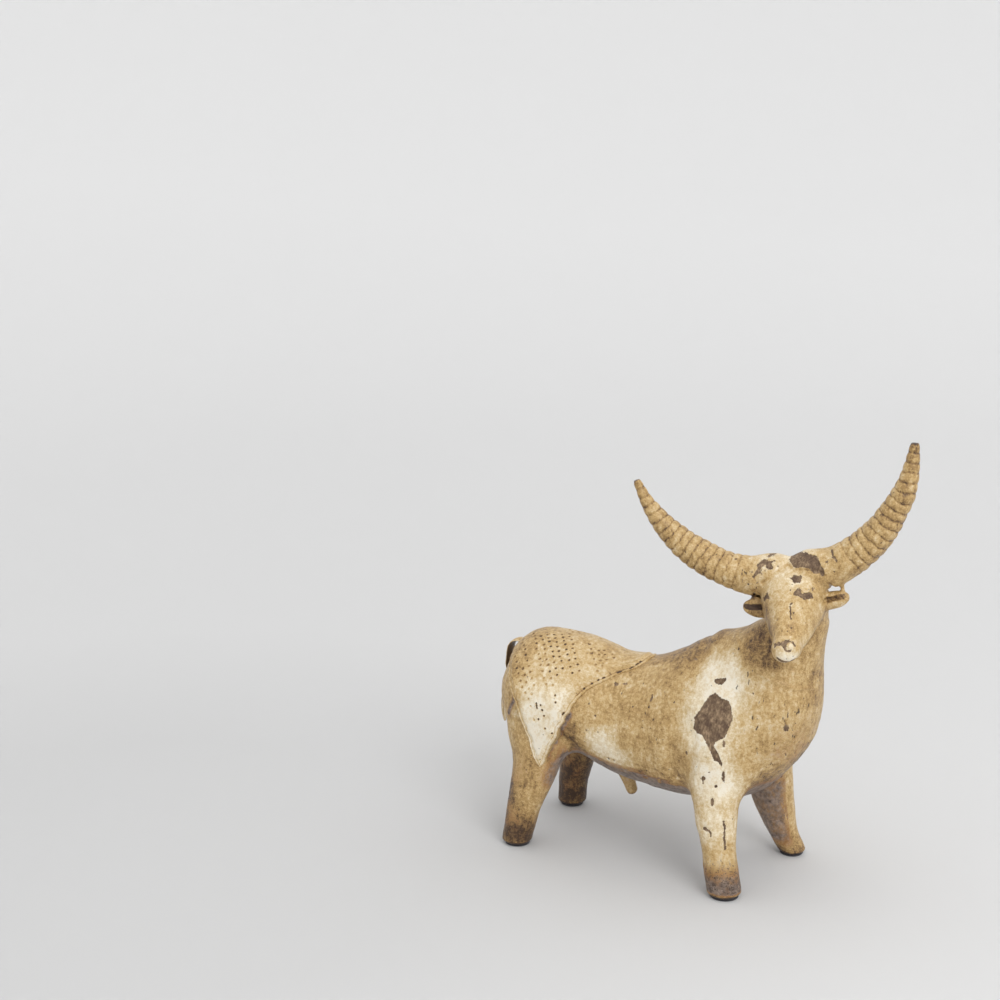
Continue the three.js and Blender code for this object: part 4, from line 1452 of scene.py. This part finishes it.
def cloth_tone(x, drop, from_front, from_rear):
    """How cream the glaze of the cloth is: tan over the ridge and the rump, and in a band along each rim."""
    cream = np.interp(np.abs(drop), [0, 15, 35, 60, 82, 100], [0.55, 0.56, 0.59, 0.67, 0.92, 0.98])
    cream = lerp(cream, 0.44, smoothstep(-x, 74, 90) * smoothstep(108 - np.abs(drop), 0, 14))
    high = smoothstep(88 - np.abs(drop), 0, 20)
    for distance, ridge in ((from_front, FRONT_RIDGE), (from_rear, REAR_RIDGE)):
        band = smoothstep(distance, 1.2, 2.2) * smoothstep(ridge + 0.4 - distance, 0, 1)
        cream = lerp(cream, 0.55, lerp(0.25, 0.55, high) * band)
        cream = lerp(cream, 0.58, lerp(0.5, 1, high) * smoothstep(1.8 - distance, 0, 0.6))
        # A darker line in each rim's groove, and painted shade along the cloth's very edge.
        cream = cream - 0.22 * bump(distance, 2.4, 0.4) - 0.25 * smoothstep(0.6 - distance, 0, 0.4)
    return cream.ravel()


def punch_dots(flat, drops, lift, cream, stain):
    """Presses each dot into the cloth, with a ridge of clay around it. Long ones follow the front rim."""
    pick = np.random.default_rng(52)
    ahead = blanket_point(blanket_edge(drops, 1), drops, CLOTH)
    for place, lean, dark, radius, stretch in blanket_dots():
        offset = flat - blanket_point(np.array(place), np.array(lean), CLOTH)
        close = np.flatnonzero((offset**2).sum(1) < (3 * radius + stretch) ** 2)
        offset = offset[close]
        if stretch:
            row = np.abs(drops - lean).argmin()
            along = unit(ahead[min(row + 3, len(ahead) - 1)] - ahead[row - 3])
            offset = offset - np.clip(offset @ along, -stretch, stretch)[:, None] * along
        reach = lengths(offset) / (radius * pick.uniform(0.85, 1.15))
        lift[close] += 0.14 * bump(reach, 1.35, 0.3) - 0.5 * (1 - smoothstep(reach, 0.6, 1.15))
        shade = 1 - smoothstep(reach, 0.7, 1.3)
        stain[close] = np.maximum(stain[close], 1.5 * (dark - 0.45) * shade)
        cream[close] -= 0.34 * shade


def lay_on_clay(points, edge, thinning, lift):
    """The cloth's face, moved out where it would sink into the clay under it."""
    wanted = lerp(-0.6, 2.3 - thinning, smoothstep(edge, 0, CLOTH_EDGE))
    wanted += thinning * smoothstep(edge, 2, 6.5) - np.maximum(0, -lift) * (edge > 6.5)
    short = np.clip(wanted - clay.at(points), 0, 4)
    return points + clay.slope(points) * short[:, None]


def ring_marks(cream, stain):
    """The marks of a ring mesh without losses or bare places, and one more value of each for its two ends."""
    marks = {"cream": cream, "bare": 0 * cream, "stain": stain, "worn": 0 * cream + UNWORN}
    return {key: np.append(values.ravel(), [0, 0]) for key, values in marks.items()}


def blanket_form():
    """The blanket's points and faces as rings across the back, with its marks."""
    drops, arc = cloth_rows()
    ragged = 0.7 + 0.7 * smoothstep(np.abs(drops), 84, 100)
    line = np.stack([arc, np.zeros_like(arc), np.zeros_like(arc)], axis=1)
    front = along_back(blanket_edge(drops, 1)) + ragged * uneven(line, [(0.7, 9, 42), (0.5, 3.1, 41)])
    rear = along_back(blanket_edge(drops, 2)) + 0.7 * wander(line, 11, 43) + 0.35 * wander(line, 3.5, 44)
    length = cloth_columns(front, rear)
    x = place_of(length)
    drop = np.broadcast_to(drops[:, None], x.shape)
    points = blanket_point(x, drop, CLOTH)
    out = unit(np.cross(np.gradient(points, axis=0), np.gradient(points, axis=1)))
    out *= np.sign((out * (points - [0, 0, 110])).sum(2))[:, :, None]
    from_front = (front[:, None] - length) / np.hypot(1, np.gradient(front, arc))[:, None]
    from_rear = (length - rear[:, None]) / np.hypot(1, np.gradient(rear, arc))[:, None]
    lift, thinning, stain = cloth_relief(points, drop, from_front, from_rear)
    cream = cloth_tone(x, drop, from_front, from_rear)
    flat = points.reshape(-1, 3)
    punch_dots(flat, drops, lift, cream, stain)
    raised = flat + out.reshape(-1, 3) * lift[:, None]
    raised = lay_on_clay(raised, np.minimum(from_front, from_rear).ravel(), thinning, lift)
    inner_x = place_of(lerp(rear[:, None], front[:, None], np.linspace(1, 0, HIDDEN_COLUMNS)[None]))
    inner = blanket_point(inner_x, np.broadcast_to(drops[:, None], inner_x.shape), -CLOTH_DEPTH)
    rings = np.concatenate([raised.reshape(points.shape), inner], axis=1)
    hidden = ((0, 0), (0, HIDDEN_COLUMNS))
    cream = np.pad(cream.reshape(x.shape), hidden, constant_values=0.5)
    return ring_mesh(rings), ring_marks(cream, np.pad(stain.reshape(x.shape), hidden))


(points, faces), marks = blanket_form()
clay_pieces.append(make_object("rump_blanket_clay", points, faces, "rump_blanket", marks))


# Tail: a flat strap that loops out from the rump and runs down it to a grooved, leaf-shaped tuft

RUMP_REAR = RUMP_X - RUMP_ROUND
TAIL_LOW = TAIL_TOP - TAIL_REJOIN
# The middle of the strap, from inside the rump to the tip of the tuft
TAIL_ROUTE = [
    (RUMP_REAR + 15, -2, TAIL_TOP - 6),
    (RUMP_REAR + 6, -2, TAIL_TOP - 4.2),
    (RUMP_REAR - TAIL_LOOP + 7.2, -2.4, TAIL_TOP - 9),
    (RUMP_REAR - TAIL_LOOP + 5.4, -2.6, TAIL_TOP - 22),
    (RUMP_REAR - TAIL_LOOP / 2 + 1.6, -4.4, TAIL_TOP - 35),
    (RUMP_REAR - 1.4, -8, TAIL_LOW),
    (RUMP_REAR - 0.8, -11, lerp(TAIL_LOW, TUFT_BOTTOM, 0.5)),
    (RUMP_REAR + 0.6, -13, TUFT_BOTTOM),
]


def tail_form():
    route = smooth_rows(TAIL_ROUTE, 24)
    gone = travelled(route)
    shares = np.linspace(0, 1, 170)
    centre = np.stack([np.interp(shares * gone[-1], gone, route[:, k]) for k in range(3)], axis=1)
    along = unit(np.gradient(centre, axis=0))
    twist = np.radians(TUFT_TWIST) * smoothstep(shares, 0.4, 0.65)
    level = np.stack([-np.sin(twist), np.cos(twist), 0 * twist], axis=1)
    across = unit(level - along * (along * level).sum(1)[:, None])
    out = np.cross(along, across)
    loop = smoothstep(shares, 0.05, 0.15) * (1 - smoothstep(shares, 0.4, 0.55))
    tuft = 1 + 0.35 * loop + 0.4 * smoothstep(shares, 0.55, 0.72)
    close = np.sqrt(np.clip(1 - (np.maximum(0, shares - 0.78) / 0.222) ** 2, 0.0004, 1))
    angle = turns(44)
    side = np.cos(angle)
    outward = np.sin(angle) * np.sign(out[-1, 0])
    wide = (TAIL_WIDTH / 2 * tuft * close)[:, None, None]
    thick = (TAIL_THICKNESS / 2 * lerp(0.75, 1.25, smoothstep(shares, 0.5, 0.7)) * close)[:, None, None]
    on_tuft = smoothstep(shares, 0.6, 0.68)[:, None] * close[:, None]
    grooves = bump(side, -0.12, 0.13) + 0.8 * bump(side, 0.55, 0.12)
    depth = np.where(outward < 0, 0.75, 0)[None] * grooves[None] * on_tuft
    rise = np.sin(angle)[None, :, None] * (thick - depth[:, :, None])
    rings = centre[:, None] + across[:, None] * wide * side[None, :, None] + out[:, None] * rise
    flat = rings.reshape(-1, 3)
    middle = np.repeat(centre, len(angle), axis=0)
    rings = (flat + (flat - middle) * 0.06 * wander(flat, 5, 61)[:, None]).reshape(rings.shape)
    rim = np.abs(side)[None]
    stain = 0.85 * depth + 0.5 * (rim > 0.94) * on_tuft
    # Painted shade: the strap's face turned to the rump, above the tuft, is stained near black for the shade
    # inside the loop.
    stain = stain + 0.9 * (outward > 0.25) * (1 - on_tuft) * smoothstep(shares, 0.05, 0.1)[:, None]
    cream = 0.5 + 0.22 * (rim > 0.8) * (1 - on_tuft) + 0.34 * on_tuft - 0.3 * (depth > 0.2)
    return ring_mesh(rings), ring_marks(cream, stain)


(points, faces), marks = tail_form()
clay_pieces.append(make_object("tail_clay", points, faces, "tail", marks))


# Felt pads under the feet


# Inset and height of each ring of a pad, from the floor up
PAD_PROFILE = [(0.5, 0.0), (0.15, 0.12), (0, 0.45), (0, 1.55), (0.15, 1.88), (0.5, PAD_THICKNESS)]


def pad_form(leg):
    x, y, foot_radius = leg["foot"]
    rings = []
    for inset, height in PAD_PROFILE:
        reach = foot_radius - PAD_INSET - inset
        rings.append(flat_ring(x, leg["side"] * y, height, reach, reach, 64))
    return ring_mesh(np.array(rings))


felt_pieces = []
for name, leg in LEGS.items():
    points, faces = pad_form(leg)
    node = "pad_" + name
    pad = make_object(node + "_felt", points, faces, node)
    felt_pieces.append(pad)


# Materials


def srgb(red, green, blue):
    """A colour as the eye reads it, from 0 to 255, as the shader's linear colour."""
    shares = np.array([red, green, blue]) / 255
    return (*(((shares + 0.055) / 1.055) ** 2.4), 1.0)


class Tree:
    """A material's nodes, made and joined by name."""

    def __init__(self, material):
        material.use_nodes = True
        self.nodes = material.node_tree.nodes
        self.links = material.node_tree.links
        self.shader = self.nodes["Principled BSDF"]
        self.place = self.nodes.new("ShaderNodeTexCoord").outputs["Object"]

    def add(self, kind, inputs=None, **settings):
        node = self.nodes.new("ShaderNode" + kind)
        for key, value in settings.items():
            setattr(node, key, value)
        for key, value in (inputs or {}).items():
            if isinstance(value, bpy.types.NodeSocket):
                self.links.new(value, node.inputs[key])
            else:
                node.inputs[key].default_value = value
        return node

    def mark(self, name):
        return self.add("Attribute", attribute_name=name).outputs["Fac"]

    def noise(self, grain, detail, stretch=None):
        """Noise around 0 whose grain is in millimetres, optionally stretched down the form."""
        vector = self.place
        if stretch:
            vector = self.add("Mapping", {"Vector": vector, "Scale": (1, 1, 1 / stretch)}).outputs["Vector"]
        inputs = {"Vector": vector, "Scale": 1000 / grain, "Detail": detail, "Roughness": 0.6}
        return self.sum(self.add("TexNoise", inputs).outputs["Fac"], -0.5)

    def math(self, operation, a, b):
        return self.add("Math", {0: a, 1: b}, operation=operation).outputs[0]

    def sum(self, total, *more):
        for value in more:
            total = self.math("ADD", total, value)
        return total

    def scaled(self, a, b):
        return self.math("MULTIPLY", a, b)

    def weigh(self, *pairs):
        """The sum of some values, each times its weight."""
        return self.sum(*[self.scaled(value, weight) for value, weight in pairs])

    def step(self, value, low, high):
        inputs = {"Value": value, "From Min": low, "From Max": high}
        return self.add("MapRange", inputs, interpolation_type="SMOOTHSTEP").outputs["Result"]

    def ramp(self, value, stops):
        node = self.add("ValToRGB", {"Fac": value})
        for index, (at, colour) in enumerate(stops):
            if index < 2:
                stop = node.color_ramp.elements[index]
                stop.position = at
            else:
                stop = node.color_ramp.elements.new(at)
            stop.color = colour
        return node.outputs["Color"]

    def mix(self, share, a, b):
        return self.add("Mix", {0: share, 6: a, 7: b}, data_type="RGBA").outputs[2]

    def feed(self, name, value):
        self.links.new(value, self.shader.inputs[name])


GLAZE_STOPS = [
    (0.0, srgb(72, 53, 38)),
    (1.0, srgb(235, 226, 207)),
    (0.14, srgb(112, 85, 55)),
    (0.34, srgb(158, 127, 80)),
    (0.54, srgb(191, 160, 108)),
    (0.74, srgb(210, 189, 151)),
    (0.88, srgb(226, 211, 182)),
]
# The dark clay, bare and worn colours are also used for painted shade.
DARK_CLAY_AND_SHADE = srgb(70, 52, 40)
RUST = srgb(148, 100, 60)
WORN_AND_SHADE_STOPS = [(0.3, srgb(86, 66, 52)), (0.74, srgb(156, 132, 104)), (0.52, srgb(112, 91, 70))]
BARE_AND_SHADE_STOPS = [(0.27, srgb(74, 61, 57)), (0.73, srgb(164, 146, 132))]


def glaze(material):
    """Mottled satin glaze over stoneware, the same on each piece so that no joint shows."""
    tree = Tree(material)
    blotch = tree.noise(11, 4)
    grain = tree.noise(2.4, 3)
    fine = tree.noise(0.9, 2)
    streak = tree.noise(3.2, 2, stretch=4)
    cream = tree.mark("cream")
    mottle = tree.weigh((blotch, 0.75), (grain, 0.8), (streak, 0.5), (fine, 0.6))
    calm = tree.math("SUBTRACT", 1.2, tree.scaled(cream, 0.6))
    tone = tree.sum(cream, tree.scaled(mottle, calm))
    colour = tree.ramp(tone, GLAZE_STOPS)
    # The bare and stain marks bring painted shade here as well as thin glaze and stains, and so does the worn
    # mark below.
    thin = tree.sum(tree.mark("bare"), tree.weigh((blotch, 0.7), (grain, 0.5)))
    colour = tree.mix(tree.scaled(tree.step(thin, 0.14, 0.42), 0.55), colour, RUST)
    bare = tree.step(thin, 0.38, 0.8)
    colour = tree.mix(bare, colour, tree.ramp(tree.sum(tree.noise(3.6, 4), 0.5), BARE_AND_SHADE_STOPS))
    cells = tree.add("TexVoronoi", {"Vector": tree.place, "Scale": 1000 / 3.6})
    choice = tree.add("SeparateColor", {"Color": cells.outputs["Color"]}).outputs[0]
    reach = tree.scaled(tree.step(choice, 0.72, 1.0), 0.17)
    hole = tree.step(tree.math("SUBTRACT", reach, cells.outputs["Distance"]), -0.02, 0.03)
    speckle = tree.weigh((grain, 0.8), (fine, 0.9))
    stain = tree.step(tree.sum(tree.mark("stain"), speckle), 0.38, 0.62)
    dark = tree.math("MAXIMUM", stain, tree.scaled(hole, 0.75))
    colour = tree.mix(tree.scaled(dark, 0.88), colour, DARK_CLAY_AND_SHADE)
    ragged = tree.sum(tree.mark("worn"), tree.scaled(tree.noise(1.7, 3), 2.2))
    worn = tree.step(ragged, -0.08, 0.12)
    combed = tree.sum(tree.noise(6, 3), tree.scaled(tree.noise(1.1, 2, stretch=3), 0.8))
    colour = tree.mix(worn, colour, tree.ramp(tree.sum(combed, 0.5), WORN_AND_SHADE_STOPS))
    tree.feed("Base Color", colour)
    tree.feed("Roughness", tree.sum(tree.weigh((worn, 0.28), (grain, 0.3)), 0.42))
    tree.shader.inputs["Specular IOR Level"].default_value = 0.34
    tree.shader.inputs["Coat Weight"].default_value = 0.06
    tree.shader.inputs["Coat Roughness"].default_value = 0.25
    height = tree.weigh((grain, 0.6), (fine, 0.45))
    height = tree.scaled(height, tree.math("SUBTRACT", 1.0, tree.scaled(bare, 0.7)))
    height = tree.sum(height, tree.weigh((dark, -0.5), (worn, -0.7)))
    relief = tree.add("Bump", {"Strength": 0.6, "Distance": 0.0006, "Height": height})
    tree.feed("Normal", relief.outputs["Normal"])


def felt(material):
    tree = Tree(material)
    nap = tree.noise(0.5, 3, stretch=2)
    tree.feed("Base Color", tree.ramp(tree.sum(nap, 0.5), [(0.3, srgb(26, 26, 30)), (0.7, srgb(58, 56, 62))]))
    tree.shader.inputs["Roughness"].default_value = 0.95
    tree.shader.inputs["Sheen Weight"].default_value = 0.25
    relief = tree.add("Bump", {"Strength": 0.8, "Distance": 0.0004, "Height": nap})
    tree.feed("Normal", relief.outputs["Normal"])


materials = {}
for slot in ("tan_glaze", "cream_glaze", "ochre_glaze", "horn_glaze"):
    materials[slot] = bpy.data.materials.new(slot + "_skin")
    glaze(materials[slot])
materials["felt"] = bpy.data.materials.new("felt_nap")
felt(materials["felt"])
for piece in clay_pieces:
    name = piece.name.removesuffix("_clay")
    piece.data.materials.append(materials[SLOTS[name]])
for piece in felt_pieces:
    piece.data.materials.append(materials["felt"])


# Stage: a pale bowl-shaped sweep with painted shade graded over its paper, one large soft light and daylight
# from above

SWEEP_FLOOR = 1.7
SWEEP_BEND = 2.2
# Painted shade: the paper is darker on the floor around this point near the bull and lighter up the walls.
PAPER_SHADE_CENTRE = (-0.35, -0.2, 0.0)
PAPER_SHADE_STOPS = [(0.06, srgb(199, 199, 199)), (0.7, srgb(227, 227, 227)), (0.14, srgb(209, 209, 209))]
CAMERA_PLACE = (0.5289, -1.1325, 0.56)
CAMERA_DOWN = 13.2
CAMERA_TURN = 31.225
CAMERA_LENS = 65.9
WINDOW_PLACE = (1.7, -1.3, 1.65)
WINDOW_AIM = (0, 0, 0.1)
WINDOW_SIZE = 1.3
WINDOW_POWER = 26.5
DAYLIGHT = 1.16
PAPER_RISE = 1.2


def sweep():
    profile = [(SWEEP_FLOOR * share, 0.0) for share in (0.05, 0.3, 0.6, 0.9, 1.0)]
    for bend in np.radians(range(6, 91, 6)):
        profile.append((SWEEP_FLOOR + SWEEP_BEND * math.sin(bend), SWEEP_BEND * (1 - math.cos(bend))))
    profile.append((SWEEP_FLOOR + SWEEP_BEND, SWEEP_BEND + PAPER_RISE))
    sides = 96
    rings = [flat_ring(0, 0, height, reach, reach, sides) for reach, height in profile]
    points, faces = ring_mesh(np.array(rings))
    mesh = bpy.data.meshes.new("sweep")
    mesh.from_pydata(points[:-1].tolist(), [], faces[:-sides])
    mesh.shade_smooth()
    paper = bpy.data.materials.new("paper")
    tree = Tree(paper)
    # Painted shade: the paper darkens towards the floor near the bull.
    away = tree.add("VectorMath", {0: tree.place, 1: PAPER_SHADE_CENTRE}, operation="DISTANCE").outputs["Value"]
    share = tree.math("DIVIDE", away, SWEEP_FLOOR + SWEEP_BEND)
    tree.feed("Base Color", tree.ramp(share, PAPER_SHADE_STOPS))
    tree.shader.inputs["Roughness"].default_value = 0.9
    mesh.materials.append(paper)
    in_scene("sweep", mesh)


sweep()
lamp = bpy.data.lights.new("window", "AREA")
lamp.size = WINDOW_SIZE
lamp.energy = WINDOW_POWER
holder = in_scene("window", lamp)
holder.location = WINDOW_PLACE
holder.rotation_euler = (Vector(WINDOW_AIM) - Vector(WINDOW_PLACE)).to_track_quat("-Z", "Y").to_euler()

world = bpy.data.worlds.new("daylight")
world.use_nodes = True
background = world.node_tree.nodes["Background"]
background.inputs["Color"].default_value = (1, 1, 1, 1)
background.inputs["Strength"].default_value = DAYLIGHT
bpy.context.scene.world = world
bpy.context.scene.view_settings.view_transform = "Standard"

camera = bpy.data.cameras.new("camera")
camera.lens = CAMERA_LENS
camera.sensor_width = 36.0
holder = in_scene("camera", camera)
holder.location = CAMERA_PLACE
holder.rotation_euler = (math.radians(90 - CAMERA_DOWN), 0, math.radians(CAMERA_TURN))
bpy.context.scene.camera = holder
